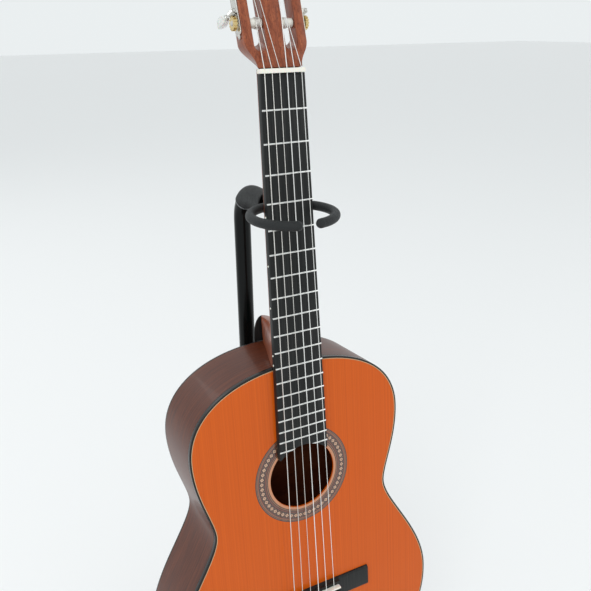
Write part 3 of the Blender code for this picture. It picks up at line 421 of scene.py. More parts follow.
def wood(name, dark, middle, light, stretch, gloss, pores=0.25, coat=1.0, bump=0.15):
    """Lacquered wood: a slow drift of colour, long fibres, and short dark pores along the grain."""
    made, tree, shader = finish(name, 0.38, Coat_Weight=coat, Coat_Roughness=gloss, Coat_IOR=1.45,
        Specular_IOR_Level=0.2)
    where = upright(tree, stretch)
    drift = noise(tree, upright(tree), 7.0, 2.0)
    fibre = noise(tree, where, 1.0, 6.0, 0.62, 0.4)
    body = shades(tree, fibre, (0.28, dark), (0.5, middle), (0.74, light))
    body = mixed(tree, ranged(tree, drift, 0.0, 0.45), body, middle)
    fine = noise(tree, upright(tree, tuple(4.5 * s for s in stretch)), 1.0, 2.0, 0.5)
    pore = shades(tree, fine, (0.36, (1, 1, 1)), (0.44, (0, 0, 0)))
    color = mixed(tree, times(tree, pore, pores), body, tuple(0.35 * c for c in dark))
    connect(tree, shader, color, fine, bump, 0.0002, ranged(tree, fibre, 0.30, 0.46))
    return made


def top_wood():
    """Amber lacquer over spruce: fine straight year rings, cloudy deeper patches, and a soft sheen."""
    made, tree, shader = finish("amber_lacquered_top", 0.40, Coat_Weight=0.35, Coat_Roughness=0.12,
        Coat_IOR=1.45, Specular_IOR_Level=0.12)
    wander = noise(tree, upright(tree, (6, 6, 1.2)), 1.0, 2.0)
    place = node(tree, "SeparateXYZ", {0: upright(tree)})
    across = figure(tree, "ADD", place.outputs["X"], times(tree, wander, 0.004))
    rings = node(tree, "CombineXYZ", {"X": times(tree, across, 430.0)})
    line = noise(tree, rings.outputs[0], 1.0, 3.0, 0.6)
    fibre = noise(tree, upright(tree, (900, 900, 14)), 1.0, 2.0)
    cloud = noise(tree, upright(tree), 5.5, 3.0, 0.55)
    color = shades(tree, line, (0.30, (0.46, 0.060, 0.001)), (0.52, (0.56, 0.085, 0.002)),
        (0.72, (0.64, 0.112, 0.004)))
    color = mixed(tree, ranged(tree, fibre, 0.0, 0.30), color, (0.52, 0.078, 0.001))
    color = mixed(tree, ranged(tree, cloud, 0.0, 0.35), color, (0.66, 0.135, 0.009))
    connect(tree, shader, color, fibre, 0.05, 0.0001)
    return made


def ebony_board():
    """A dark, open-grained fingerboard wood with a dry sheen."""
    made, tree, shader = finish("dark_board_wood", 0.45, Specular_IOR_Level=0.22)
    fibre = noise(tree, upright(tree, (520, 520, 12)), 1.0, 5.0, 0.65)
    fine = noise(tree, upright(tree, (1600, 1600, 60)), 1.0, 2.0)
    color = shades(tree, fibre, (0.3, (0.005, 0.006, 0.006)), (0.55, (0.014, 0.015, 0.015)),
        (0.75, (0.034, 0.033, 0.031)))
    connect(tree, shader, color, fine, 0.35, 0.0002, ranged(tree, fibre, 0.34, 0.55))
    return made


def rosette_mosaic():
    """Rings of thin lines round a band of small tiles, set out by radius and angle from the hole's centre."""
    made, tree, shader = finish("rosette_mosaic", 0.3, Coat_Weight=1.0, Coat_Roughness=0.08)
    place = node(tree, "SeparateXYZ", {0: upright(tree, (1, 1, 1), (0, 0, HOLE_Z))})
    x, z = place.outputs["X"], place.outputs["Z"]
    radius = figure(tree, "SQRT", figure(tree, "ADD", times(tree, x, x), times(tree, z, z)))
    share = figure(tree, "DIVIDE", figure(tree, "SUBTRACT", radius, ROSETTE_START), ROSETTE_WIDTH)
    pink, dark, tan = (0.50, 0.20, 0.085), (0.014, 0.008, 0.006), (0.26, 0.105, 0.045)
    rust, brown, cream = (0.16, 0.036, 0.014), (0.060, 0.022, 0.012), (0.60, 0.40, 0.25)
    bands = shades(
        tree, share, (0.0, pink), (0.175, dark), (0.225, tan), (0.27, dark), (0.32, rust), (0.39, dark),
        (0.435, brown), (0.735, dark), (0.77, rust), (0.835, tan), (0.875, dark), (0.91, tan), (0.94, dark),
        interpolation="CONSTANT",
    )
    angle = figure(tree, "ARCTAN2", z, x)
    tile = figure(tree, "FRACT", times(tree, angle, TILES / (2 * math.pi)))
    tile = figure(tree, "ABSOLUTE", figure(tree, "SUBTRACT", tile, 0.5))
    row = figure(tree, "DIVIDE", figure(tree, "SUBTRACT", share, 0.435), 0.30)
    row = figure(tree, "ABSOLUTE", figure(tree, "SUBTRACT", row, 0.5))
    reach = figure(tree, "ADD", tile, row)
    diamond = figure(tree, "LESS_THAN", reach, 0.42)
    heart = figure(tree, "LESS_THAN", reach, 0.12)
    corner = figure(tree, "GREATER_THAN", reach, 0.86)
    inside = figure(tree, "LESS_THAN", row, 0.5)
    patina = noise(tree, upright(tree), 260.0, 2.0)
    pale = mixed(tree, patina, cream, (0.40, 0.20, 0.13))
    color = mixed(tree, times(tree, diamond, inside), bands, pale)
    color = mixed(tree, times(tree, heart, inside), color, brown)
    color = mixed(tree, times(tree, corner, inside), color, tan)
    connect(tree, shader, color)
    return made


def speckled(name, dark, light, roughness, scale, strength, distance, contrast=0.35, **sockets):
    """A finish with a fine even texture, as cast metal, foam, rubber or moulded plastic has."""
    made, tree, shader = finish(name, roughness, **sockets)
    grain = noise(tree, plain(tree), scale, 4.0, 0.6)
    patch = noise(tree, plain(tree), 28.0, 2.0)
    color = mixed(tree, ranged(tree, patch, 0.2, 0.8), dark, light)
    color = mixed(tree, ranged(tree, grain, 0.0, contrast), color, dark)
    low, high = max(0.05, roughness - 0.08), min(1.0, roughness + 0.10)
    connect(tree, shader, color, grain, strength, distance, ranged(tree, patch, low, high))
    return made


def wound_string():
    """Silvered wire wound round a core, in fine turns along the string."""
    made, tree, shader = finish("wound_string", 0.3, 0.85)
    place = node(tree, "SeparateXYZ", {0: upright(tree)})
    turns = figure(tree, "SINE", times(tree, place.outputs["Z"], 9000.0))
    color = mixed(tree, ranged(tree, turns, 0.0, 0.5), (0.80, 0.78, 0.74), (0.52, 0.50, 0.47))
    connect(tree, shader, color, turns, 0.4, 0.0001)
    return made


def brushed(name, color, roughness):
    """Plated metal with faint polishing marks."""
    made, tree, shader = finish(name, roughness, 1.0)
    marks = noise(tree, plain(tree, (1, 1, 14)), 320.0, 3.0)
    stain = noise(tree, plain(tree), 60.0, 3.0)
    tone = mixed(tree, ranged(tree, stain, 0.0, 0.6), color, tuple(0.72 * c for c in color))
    connect(tree, shader, tone, marks, 0.06, 0.0001, ranged(tree, marks, roughness - 0.07, roughness + 0.12))
    return made


def pearl():
    """Moulded pearl plastic: milky swirls with a soft depth."""
    made, tree, shader = finish("pearl_plastic", 0.16, Coat_Weight=0.6, Coat_Roughness=0.06,
        Subsurface_Weight=0.15, Subsurface_Scale=0.004)
    swirl = noise(tree, plain(tree), 130.0, 3.0, 0.5, 1.6)
    color = shades(tree, swirl, (0.32, (0.44, 0.45, 0.42)), (0.5, (0.66, 0.67, 0.63)),
        (0.68, (0.84, 0.84, 0.81)))
    connect(tree, shader, color)
    return made


def tube_paint():
    """Semi-gloss black paint on steel tube, a little uneven and dusty."""
    made, tree, shader = finish("black_tube_paint", 0.2, Specular_IOR_Level=0.16)
    orange_peel = noise(tree, plain(tree), 900.0, 2.0)
    dust = noise(tree, plain(tree, (1, 1, 0.3)), 40.0, 4.0, 0.6)
    color = mixed(tree, ranged(tree, dust, 0.0, 0.5), (0.0012, 0.0020, 0.0020), (0.0030, 0.0042, 0.0044))
    connect(tree, shader, color, orange_peel, 0.12, 0.0001, ranged(tree, dust, 0.12, 0.28))
    return made


TOP = top_wood()
SIDE = wood("dark_side_wood", (0.035, 0.008, 0.003), (0.090, 0.021, 0.008), (0.160, 0.044, 0.018),
    (9, 420, 22), 0.07, coat=0.15)
NECK = wood("neck_wood", (0.12, 0.024, 0.008), (0.25, 0.058, 0.020), (0.40, 0.115, 0.044), (300, 300, 9),
    0.16, 0.5, coat=0.5)
DARK = ebony_board()
PALE = wood("bare_lining_wood", (0.30, 0.17, 0.08), (0.42, 0.26, 0.13), (0.52, 0.34, 0.18), (300, 300, 10),
    0.5, 0.2, 0.0)
ROSETTE = rosette_mosaic()
BINDING = speckled("black_binding", (0.004, 0.004, 0.004), (0.010, 0.009, 0.008), 0.25, 500, 0.02, 0.0001,
    Specular_IOR_Level=0.35)
PURFLING = speckled("pale_purfling", (0.50, 0.30, 0.14), (0.66, 0.44, 0.24), 0.3, 700, 0.05, 0.0001,
    Coat_Weight=1.0)
BONE = speckled("polished_bone", (0.74, 0.71, 0.62), (0.88, 0.86, 0.80), 0.28, 900, 0.06, 0.0001,
    Subsurface_Weight=0.1, Subsurface_Scale=0.002)
NYLON = speckled("clear_nylon", (0.74, 0.74, 0.72), (0.86, 0.86, 0.84), 0.18, 1200, 0.03, 0.0001,
    Specular_IOR_Level=0.8)
WOUND = wound_string()
NICKEL = brushed("nickel_plate", (0.72, 0.70, 0.66), 0.22)
FRETWIRE = brushed("fret_wire", (0.86, 0.86, 0.84), 0.16)
BRASS = brushed("brass_gear", (0.78, 0.60, 0.28), 0.28)
PEARL = pearl()
ROLLER = speckled("white_roller", (0.70, 0.69, 0.62), (0.84, 0.83, 0.77), 0.3, 600, 0.05, 0.0001)
PAINT = tube_paint()
CAST = speckled("cast_black", (0.005, 0.005, 0.006), (0.014, 0.014, 0.015), 0.42, 1100, 0.5, 0.0002,
    Specular_IOR_Level=0.35)
FOAM = speckled("charcoal_foam", (0.002, 0.003, 0.003), (0.028, 0.031, 0.033), 0.5, 900, 1.0, 0.0008,
    Specular_IOR_Level=0.3)
ROUGH = speckled("rough_sleeve", (0.001, 0.002, 0.002), (0.120, 0.130, 0.135), 0.6, 420, 1.0, 0.0030,
    contrast=1.5, Specular_IOR_Level=0.35)
RUBBER = speckled("foot_rubber", (0.010, 0.010, 0.010), (0.024, 0.023, 0.022), 0.72, 900, 0.5, 0.0003,
    Specular_IOR_Level=0.35)
# Pale zinc for the pins and the knob's screw; on the bend cover's rim the same pale metal is a painted
# highlight.
ZINC_AND_RIM_HIGHLIGHT = brushed("zinc_pin", (0.55, 0.56, 0.58), 0.34)
PLASTIC = speckled("knob_plastic", (0.012, 0.012, 0.013), (0.022, 0.022, 0.023), 0.48, 1500, 0.4, 0.0002)


# ---- Guitar body ----

def body_outline(fill=True):
    """Top, upper bout, waist, lower bout and tail, and the same back up the other side."""
    upper_waist, waist_lower = WAIST_DROP - UPPER_DROP, LOWER_DROP - WAIST_DROP
    lower_tail = BODY_LENGTH - LOWER_DROP
    sides = [
        ((UPPER_BOUT / 2, BODY_TOP - UPPER_DROP), 0.61 * UPPER_DROP, 0.45 * upper_waist),
        ((WAIST / 2, BODY_TOP - WAIST_DROP), 0.2 * upper_waist, 0.2 * waist_lower),
        ((LOWER_BOUT / 2, BODY_TOP - LOWER_DROP), 0.4 * waist_lower, 0.44 * lower_tail),
    ]
    top, tail = 0.315 * UPPER_BOUT, 0.432 * LOWER_BOUT
    knots = [((0, BODY_TOP), (-top, 0), (top, 0))]
    knots += [(at, (0, before), (0, -after)) for at, before, after in sides]
    knots += [((0, BODY_BOTTOM), (tail, 0), (-tail, 0))]
    knots += [((-at[0], at[1]), (0, -after), (0, before)) for at, before, after in sides[::-1]]
    return outline(knots, 26, fill)


def back_slope(piece, share_of_depth=None):
    """Deepens the body evenly from the heel to the tail: points from half its depth back follow the back."""
    for vertex in piece.data.vertices:
        if share_of_depth is None or vertex.co.y > share_of_depth:
            vertex.co.y += (TAIL_DEPTH - HEEL_DEPTH) * (BODY_TOP - vertex.co.z) / BODY_LENGTH
    return piece


def split_rim(piece, width):
    """Insets a face and separates the middle from the rim: (rim, middle)."""
    pick(piece, everything)
    bpy.ops.mesh.inset(thickness=width, depth=0)
    bpy.ops.mesh.separate(type="SELECTED")
    middle = next(o for o in bpy.context.selected_objects if o.name != piece.name)
    deselect()
    return piece, middle


def sound_hole(radius, depth=0.05):
    return turn([(radius, -depth), (radius, depth)], 128, Matrix.Translation((0, BOARD, HOLE_Z)) @ ALONG_Y)


def make_top():
    rim, middle = split_rim(body_outline(), BINDING_WIDTH)
    line, plate = split_rim(middle, PURFLING_WIDTH)
    round_edges(slab(rim, BOARD, BOARD + BINDING_DEPTH), 0.0006, 3)
    done(rim, "top_binding", BINDING, "guitar", nodes=("binding_top",))
    done(slab(line, BOARD, BOARD + 0.0015), "top_purfling", PURFLING, "guitar")
    slab(plate, BOARD, BOARD + 0.0026)
    cut(plate, sound_hole(HOLE_RADIUS))
    round_edges(plate, 0.0005, 2, 60)
    done(plate, "soundboard_plate", TOP, "guitar", nodes=("soundboard",), smooth=20)
    deselect()
    inner, outer = ROSETTE_START + 0.0003, ROSETTE_START + ROSETTE_WIDTH
    bpy.ops.mesh.primitive_circle_add(vertices=160, radius=inner, rotation=(math.pi / 2, 0, 0),
        location=(0, 0, HOLE_Z))
    ring = apply_place(bpy.context.object)
    pick(ring, everything, "edges")
    bpy.ops.mesh.extrude_region_move()
    bpy.ops.transform.resize(value=(outer / inner,) * 3, center_override=(0, 0, HOLE_Z))
    slab(outward(ring), BOARD - 0.00015, BOARD + 0.0006)
    done(ring, "rosette", ROSETTE, "guitar")


def make_ribs():
    shell = body_outline(False)
    move(shell, Matrix.Translation((0, BOARD + BINDING_DEPTH, 0)))
    pick(shell, everything, "edges")
    extrude((0, HEEL_DEPTH - BACK_THICK - BINDING_DEPTH, 0))
    deselect()
    back_slope(shell, BOARD + HEEL_DEPTH / 2)
    outward(shell)
    modify(shell, "SOLIDIFY", thickness=0.0024, offset=-1)
    other = copy_of(shell)
    for piece, side, name in ((shell, 1, "treble"), (other, -1, "bass")):
        pick(piece, everything)
        bpy.ops.mesh.bisect(plane_co=(side * 0.0001, 0, 0), plane_no=(-side, 0, 0), clear_outer=True,
            use_fill=True)
        done(outward(piece), f"rib_{name}_side", SIDE, "guitar", nodes=(f"rib_{name}",), smooth=40)


def make_back():
    rim, plate = split_rim(body_outline(), BINDING_WIDTH)
    back = BOARD + HEEL_DEPTH
    round_edges(slab(rim, back - BINDING_DEPTH * 0.6, back), 0.0006, 3)
    done(back_slope(rim), "back_binding", BINDING, "guitar")
    slab(plate, back - BACK_THICK, back)
    done(back_slope(plate), "back_plate", SIDE, "guitar", nodes=("back",), smooth=20)
    strip = block((-0.002, back - 0.001, BODY_BOTTOM + 0.003), (0.002, back + 0.0001, BODY_TOP - 0.003))
    done(back_slope(round_edges(strip, 0.0001)), "back_seam_strip", DARK, "guitar")
    tail = block((-0.004, BOARD + BINDING_DEPTH, BODY_BOTTOM - 0.0002),
        (0.004, back + 0.002, BODY_BOTTOM + 0.001))
    done(round_edges(tail, 0.0001), "tail_strip", DARK, "guitar")


# ---- Neck ----

def board_half(z):
    return (NUT_WIDTH + (JOINT_WIDTH - NUT_WIDTH) * z / BODY_TOP) / 2


def taper(piece):
    """Narrows a piece that is one metre wide to the fingerboard's width at each height."""
    for vertex in piece.data.vertices:
        vertex.co.x *= 2 * board_half(vertex.co.z)
    return piece


def make_fingerboard():
    low = HOLE_Z + HOLE_RADIUS - 0.012
    board = taper(block((-0.5, 0, low), (0.5, BOARD - 0.0001, -0.0002)))
    cut(board, sound_hole(HOLE_RADIUS + 0.0005))
    round_edges(board, 0.0005, 2, 50)
    done(board, "fingerboard_plate", DARK, "guitar", nodes=("fingerboard",), smooth=25)
    for number in range(1, 20):
        z = -SCALE * (1 - 2 ** (-number / 12))
        half = board_half(z) - 0.0002
        wire = turn([(0.00115, -half), (0.00115, half)], 16, Matrix.Translation((0, 0.0001, z)) @ ALONG_X)
        pick(wire, lambda at, normal: at.y > 0.0002, "verts")
        bpy.ops.transform.translate(value=(0, 0.0008, 0))
        deselect()
        if z < HOLE_Z + HOLE_RADIUS:
            cut(wire, sound_hole(HOLE_RADIUS + 0.0008))
        done(round_edges(wire, 0.0003, 2, 60), f"fret_{number}", FRETWIRE, "guitar")
    for number in (5, 7, 9, 12):
        z = -SCALE * (2 - 2 ** (-number / 12) - 2 ** (-(number - 1) / 12)) / 2
        for side in ((-1, 1) if number == 12 else (0,)):
            x = -board_half(z)
            place = Matrix.Translation((x, 0.0042, z + side * 0.006)) @ ALONG_X
            dot = turn([(0.0011, -0.0006), (0.0011, 0.00005)], 20, place)
            done(dot, f"side_dot_{number}_{side + 1}", BONE, "guitar")


def make_neck():
    """Rings down the neck, flat in front and round behind, that swell into the heel at the body."""
    deselect()
    count = 32
    bpy.ops.mesh.primitive_circle_add(vertices=count, radius=1, fill_type="NGON")
    neck = apply_place(bpy.context.object)
    depth = 0.021 - BOARD
    stations = [(NUT_LENGTH, depth)] + [(BODY_TOP * i / 5, depth) for i in range(1, 4)] + [(-0.245, depth)]
    heel = HEEL_DEPTH - 0.002
    for share in (0.06, 0.16, 0.30, 0.46, 0.62, 0.76, 0.88, 0.96, 1.0):
        stations.append((-0.252 - 0.039 * share ** 0.45, depth + (heel - depth) * share ** 1.9))
    stations += [(-0.300, heel), (BODY_TOP + 0.0001, heel)]
    pick(neck, everything)
    for before, after in zip(stations, stations[1:]):
        extrude((0, 0, after[0] - before[0]))
    deselect()
    rings = sorted({round(vertex.co.z, 5) for vertex in neck.data.vertices}, reverse=True)
    for vertex in neck.data.vertices:
        index = rings.index(round(vertex.co.z, 5))
        z, deep = stations[index]
        angle = math.atan2(vertex.co.y, vertex.co.x)
        half = board_half(z) - 0.0001
        behind = max(0.0, math.sin(angle))
        share = (deep - depth) / (heel - depth)
        round_back = behind ** 1.15
        narrow = 1 - share * 0.56 * min(1.0, behind * 1.25) ** 1.2
        vertex.co = (half * math.cos(angle) * narrow, BOARD + deep * round_back, z)
        if index == 0:
            vertex.co.z -= (vertex.co.y - BOARD) * math.tan(HEAD_TILT) + 0.0002
    outward(neck)
    done(neck, "neck_shaft", NECK, "guitar", nodes=("neck",), smooth=45)


def make_heel_cap():
    low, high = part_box("heel_cap")
    length = high[2] - low[2]
    half = (high[0] - low[0]) / 2
    knots = [
        ((-half, 0), (0, 0), (0, length * 0.62)), ((0, length), (-half * 0.55, 0), (half * 0.55, 0)),
        ((half, 0), (0, length * 0.62), (0, 0)), ((0, 0), (half / 2, 0), (-half / 2, 0)),
    ]
    cap = outline(knots, 16)
    move(cap, Matrix.Translation((0, 0, BODY_TOP + 0.0003)))
    round_edges(slab(cap, BOARD + HEEL_DEPTH - 0.002, BOARD + HEEL_DEPTH), 0.0006, 3)
    done(cap, "heel_cap_plate", DARK, "guitar", nodes=("heel_cap",))


def string_x(number, spread):
    return spread * (0.5 - number / 5)


def make_nut_and_saddle():
    nut = block((-NUT_WIDTH / 2, -0.0033, 0.0001), (NUT_WIDTH / 2, BOARD - 0.0001, NUT_LENGTH - 0.0002))
    pick(nut, lambda at, normal: at.y < 0 and at.z > NUT_LENGTH / 2, "verts")
    bpy.ops.transform.translate(value=(0, 0.0012, 0))
    deselect()
    round_edges(nut, 0.0007, 3, 50)
    for number in range(6):
        radius = STRING_RADII[number] + 0.0001
        place = Matrix.Translation((string_x(number, NUT_SPREAD), NUT_STRING_Y, 0))
        cut(nut, turn([(radius, -0.01), (radius, 0.01)], 12, place))
    done(nut, "nut_block", BONE, "guitar", nodes=("nut",))
    saddle = block((-0.040, SADDLE_TOP, SADDLE_Z - 0.0013), (0.040, BOARD - 0.003, SADDLE_Z + 0.0013))
    round_edges(saddle, 0.0009, 4, 50)
    done(saddle, "saddle_blade", BONE, "guitar", nodes=("saddle",))


# ---- Bridge and strings ----

BRIDGE_HIGH = SADDLE_Z + 0.007
BRIDGE_LOW = BRIDGE_HIGH - 0.030
BRIDGE_MIDDLE = (BRIDGE_LOW + BRIDGE_HIGH) / 2
BRIDGE_BASE, BRIDGE_RISE = BOARD - 0.0002, 0.0085
TIE_TOP = BRIDGE_LOW + 0.012    # upper end of the block that the strings are tied to
TIE_Y = BOARD - 0.0060          # of the holes through it


def make_bridge():
    front = BRIDGE_BASE
    wings = block((-0.089, front - 0.0035, BRIDGE_LOW), (0.089, front, BRIDGE_HIGH))
    pick(wings, lambda at, item: at.y < front - 0.003 and abs(at.z - BRIDGE_MIDDLE) > 0.014, "edges")
    bpy.ops.mesh.bevel(offset=0.0034, segments=5)
    deselect()
    core = block((-0.043, front - BRIDGE_RISE, BRIDGE_LOW + 0.0004),
        (0.043, front - 0.001, BRIDGE_HIGH - 0.0004))
    pick(core, lambda at, normal: normal.y < -0.9)
    bpy.ops.transform.resize(value=(0.96, 1, 0.94), center_override=(0, 0, BRIDGE_MIDDLE))
    deselect()
    cut(wings, core, "UNION")
    cut(wings, block((-0.10, front - 0.02, TIE_TOP), (0.10, front - 0.0043, SADDLE_Z - 0.004)))
    cut(wings, block((-0.0403, front - 0.02, SADDLE_Z - 0.0015), (0.0403, front - 0.0025, SADDLE_Z + 0.0015)))
    for number in range(6):
        place = Matrix.Translation((string_x(number, SADDLE_SPREAD), TIE_Y, TIE_TOP))
        cut(wings, turn([(0.0011, -0.02), (0.0011, 0.02)], 12, place))
    round_edges(wings, 0.0004, 2, 40)
    done(wings, "bridge_body", DARK, "guitar", nodes=("bridge",), smooth=35)
    for name, z in (("front", TIE_TOP - 0.0013), ("rear", BRIDGE_LOW + 0.0022)):
        strip = block((-0.036, front - 0.0088, z - 0.0008), (0.036, front - 0.0083, z + 0.0008))
        done(round_edges(strip, 0.0001), f"tie_inlay_{name}", BONE, "guitar")


def roller_at(number):
    """Side and distance along the head of a string's roller."""
    side, order = (1, number) if number < 3 else (-1, 5 - number)
    return side, FIRST_ROLLER + ROLLER_PITCH * order


def make_strings():
    to_guitar = GUITAR.inverted() @ HEAD
    for number, radius in enumerate(STRING_RADII):
        metal = WOUND if number > 2 else NYLON
        side, s = roller_at(number)
        x_nut, x = string_x(number, NUT_SPREAD), string_x(number, SADDLE_SPREAD)
        x_roller = side * SLOT_OFFSET + (x_nut - side * SLOT_OFFSET) * 0.12
        at_roller = to_guitar @ Vector((x_roller, ROLLER_DEPTH - 0.005 - radius, s))
        loop = BRIDGE_LOW
        rear = SADDLE_Z - 0.0013 - radius / 2
        corners = [
            at_roller, (x_nut, NUT_STRING_Y, NUT_LENGTH - 0.0005), (x_nut, NUT_STRING_Y, 0),
            (x, SADDLE_TOP - radius, rear),
            (x, TIE_Y, TIE_TOP + 0.0015), (x, TIE_Y, loop - 0.0016),
        ]
        string = pipe(corners, radius, 0.0012, 3)
        done(string, f"string_{number + 1}_run", metal, "guitar", nodes=(f"string_{number + 1}",), smooth=60)
        over = BRIDGE_BASE - BRIDGE_RISE - radius
        knot = [
            (x, TIE_Y, loop - 0.0006), (x + radius, TIE_Y - 0.0022, loop - 0.0014),
            (x + 2 * radius, over + 0.001, loop - 0.0004),
            (x + 2.2 * radius, over, loop + 0.003), (x + 1.6 * radius, over, TIE_TOP - 0.002),
            (x + 2 * radius, over + 0.0016, TIE_TOP + 0.0012), (x, TIE_Y + 0.0010, TIE_TOP + 0.0014),
            (x - 2 * radius, TIE_Y - 0.0008, TIE_TOP + 0.0008), (x - 2.4 * radius, over, TIE_TOP - 0.0020),
            (x - 3 * radius, over, TIE_TOP - 0.0065),
        ]
        done(smooth_bar(knot, radius, 3, 6), f"tie_knot_{number + 1}", metal, "guitar", smooth=60)
        make_winding(number, radius, x_roller, side, s, metal)


def make_winding(number, radius, x, side, s, metal):
    """The turns of a string round its roller, which it joins at the front."""
    reach = 0.005 + radius
    turns, steps = 4.5, 12
    points = []
    for i in range(int(turns * steps) + 1):
        angle = 2 * math.pi * i / steps
        across = x - side * 2.15 * radius * i / steps * (1 if side * x > SLOT_OFFSET else -1)
        points.append((across, ROLLER_DEPTH - reach * math.cos(angle), s + reach * math.sin(angle)))
    winding = smooth_bar(points, radius, 3, 3)
    done(winding, f"winding_{number + 1}", metal, f"roller_{number + 1}", HEAD, smooth=60)


# ---- Head ----

def make_head():
    half, full = NUT_WIDTH / 2, 0.036
    shoulder, corner, length = 0.028, 0.164, 0.186
    bow = shoulder * 0.42
    edge = [
        ((half, 0.0003), (-0.01, 0), (0, bow)), ((full, shoulder), (0, -bow), (0, 0.01)),
        ((full, corner), (0, -0.01), (0, 0.008)),
        ((0.012, length - 0.003), (0.012, 0.004), (-0.004, -0.0012)),
    ]
    knots = edge + [((0, length - 0.0045), (0.003, 0), (-0.003, 0))]
    for knot in edge[::-1]:
        at, after, before = ((-x, z) for x, z in (knot[0], knot[2], knot[1]))
        knots.append((at, after, before))
    head = slab(outline(knots, 16), 0, HEAD_THICK)
    low = SLOT_START + SLOT_WIDTH / 2
    high = 2 * (FIRST_ROLLER + ROLLER_PITCH) - low
    for side in (1, -1):
        grip = SLOT_WIDTH / 2 * QUARTER
        x, end = side * SLOT_OFFSET, SLOT_WIDTH / 2
        x0, x1 = x - end, x + end
        ring = [
            ((x0, low), (0, 0.001), (0, -grip)), ((x, low - end), (-grip, 0), (grip, 0)),
            ((x1, low), (0, -grip), (0, 0.001)), ((x1, high), (0, -0.001), (0, grip)),
            ((x, high + end), (grip, 0), (-grip, 0)), ((x0, high), (0, grip), (0, -0.001)),
        ]
        slot = outline(ring, 12)
        pick(slot, everything)
        bpy.ops.mesh.dissolve_limited(angle_limit=0.01)
        slot = slab(slot, -HEAD_THICK, 2 * HEAD_THICK)
        for vertex in slot.data.vertices:
            if vertex.co.z < FIRST_ROLLER:
                vertex.co.z += SLOT_RAMP * vertex.co.y / HEAD_THICK
        cut(head, slot)
        for order in range(3):
            s = FIRST_ROLLER + ROLLER_PITCH * order
            profile = [(AXLE_BORE, side * 0.0045), (AXLE_BORE, side * 0.045)]
            cut(head, turn(profile, 24, Matrix.Translation((0, ROLLER_DEPTH, s)) @ ALONG_X))
    for vertex in head.data.vertices:
        if vertex.co.y > HEAD_THICK / 2 and vertex.co.z < shoulder:
            vertex.co.x *= 1 - 0.5 * (1 - vertex.co.z / shoulder) ** 1.5
    round_edges(head, 0.0008, 3, 40)
    done(head, "head_plate", NECK, "guitar", HEAD, ("headstock",), smooth=35)


def make_tuner_plates():
    low, high = -0.0095, 2 * ROLLER_PITCH + WORM_RISE + 0.006
    half, tip, waist = 0.0065, 0.0065, 0.0022
    for name, side in (("treble", 1), ("bass", -1)):
        knots = []
        for end, z in ((1, low), (-1, high)):
            knots += [
                ((-end * half, z), (0, end * 0.002), (0, -end * 0.002)),
                ((-end * waist, z - end * 0.003), (-end * 0.002, end * 0.0004), (end * 0.0002, -end * 0.002)),
                ((0, z - end * tip), (-end * 0.0026, 0), (end * 0.0026, 0)),
                ((end * waist, z - end * 0.003), (-end * 0.0002, -end * 0.002), (end * 0.002, end * 0.0004)),
                ((end * half, z), (0, -end * 0.002), (0, end * 0.002)),
            ]
        plate = slab(outline(knots, 10), 0, PLATE_THICK)
        for order in range(3):
            place = Matrix.Translation((0, 0, order * ROLLER_PITCH)) @ ALONG_Y
            cut(plate, turn([(AXLE_BORE, -0.01), (AXLE_BORE, 0.01)], 24, place))
        round_edges(plate, 0.0003, 2, 50)
        shift = Matrix.Translation((side * (PLATE_SIDE + PLATE_THICK), ROLLER_DEPTH, FIRST_ROLLER))
        place = HEAD @ shift @ Matrix.Rotation(math.pi / 2 * side, 4, "Z")
        done(plate, f"machine_plate_{name}", NICKEL, "guitar", place, (f"tuner_plate_{name}",))
        screws = (low - tip + 0.0028, ROLLER_PITCH - 0.010, 2 * ROLLER_PITCH - 0.010, high + tip - 0.0028)
        for index, rise in enumerate(screws):
            start = side * (PLATE_SIDE + 0.0011)
            profile = [(0.0017, start), (0.0016, start + side * 0.0005), (0.0009, start + side * 0.0009)]
            screw = turn(profile, 20, Matrix.Translation((0, ROLLER_DEPTH, FIRST_ROLLER + rise)) @ ALONG_X)
            done(screw, f"plate_screw_{name}_{index + 1}", NICKEL, "guitar", HEAD)


def make_roller(number):
    side, s = roller_at(number)
    place = HEAD @ Matrix.Translation((0, ROLLER_DEPTH, s)) @ ALONG_X
    inner, outer = SLOT_OFFSET - SLOT_WIDTH / 2 + 0.0005, SLOT_OFFSET + SLOT_WIDTH / 2 - 0.0005
    body = f"roller_{number + 1}"
    rim = DRUM_RADIUS - 0.0002
    drum = [
        (AXLE_RADIUS, inner), (rim, inner), (DRUM_RADIUS, inner + 0.0004), (DRUM_RADIUS, outer - 0.0004),
        (rim, outer), (AXLE_RADIUS, outer),
    ]
    done(turn([(r, side * x) for r, x in drum], 40), f"roller_drum_{number + 1}", ROLLER, body, place,
        (body,))
    axle = [
        (0.0028, inner - 0.006), (AXLE_RADIUS, inner - 0.0055), (AXLE_RADIUS, GEAR_SIDE),
        (AXLE_RADIUS, GEAR_SIDE + GEAR_THICK),
        (0.0022, GEAR_SIDE + GEAR_THICK + 0.0002),
    ]
    done(turn([(r, side * x) for r, x in axle], 32), f"roller_axle_{number + 1}", NICKEL, body, place)
    gear = turn([(GEAR_ROOT, side * GEAR_SIDE), (GEAR_ROOT, side * (GEAR_SIDE + GEAR_THICK))], 4 * GEAR_TEETH)
    step = 2 * math.pi / (4 * GEAR_TEETH)

    def on_tooth(at, normal):
        return abs(normal.z) < 0.5 and math.floor((math.atan2(at.y, at.x) + math.pi) / step) % 4 < 2

    pick(gear, on_tooth)
    bpy.ops.mesh.extrude_region_move()
    grow = GEAR_RADIUS / GEAR_ROOT
    bpy.ops.transform.resize(value=(grow, grow, 1), center_override=(0, 0, 0))
    done(outward(gear), f"roller_gear_{number + 1}", BRASS, body, place)
    head = side * (GEAR_SIDE + GEAR_THICK)
    screw = turn([(0.0024, head), (0.0022, head + side * 0.0008), (0.0012, head + side * 0.0011)], 24)
    done(screw, f"gear_screw_{number + 1}", NICKEL, body, place)


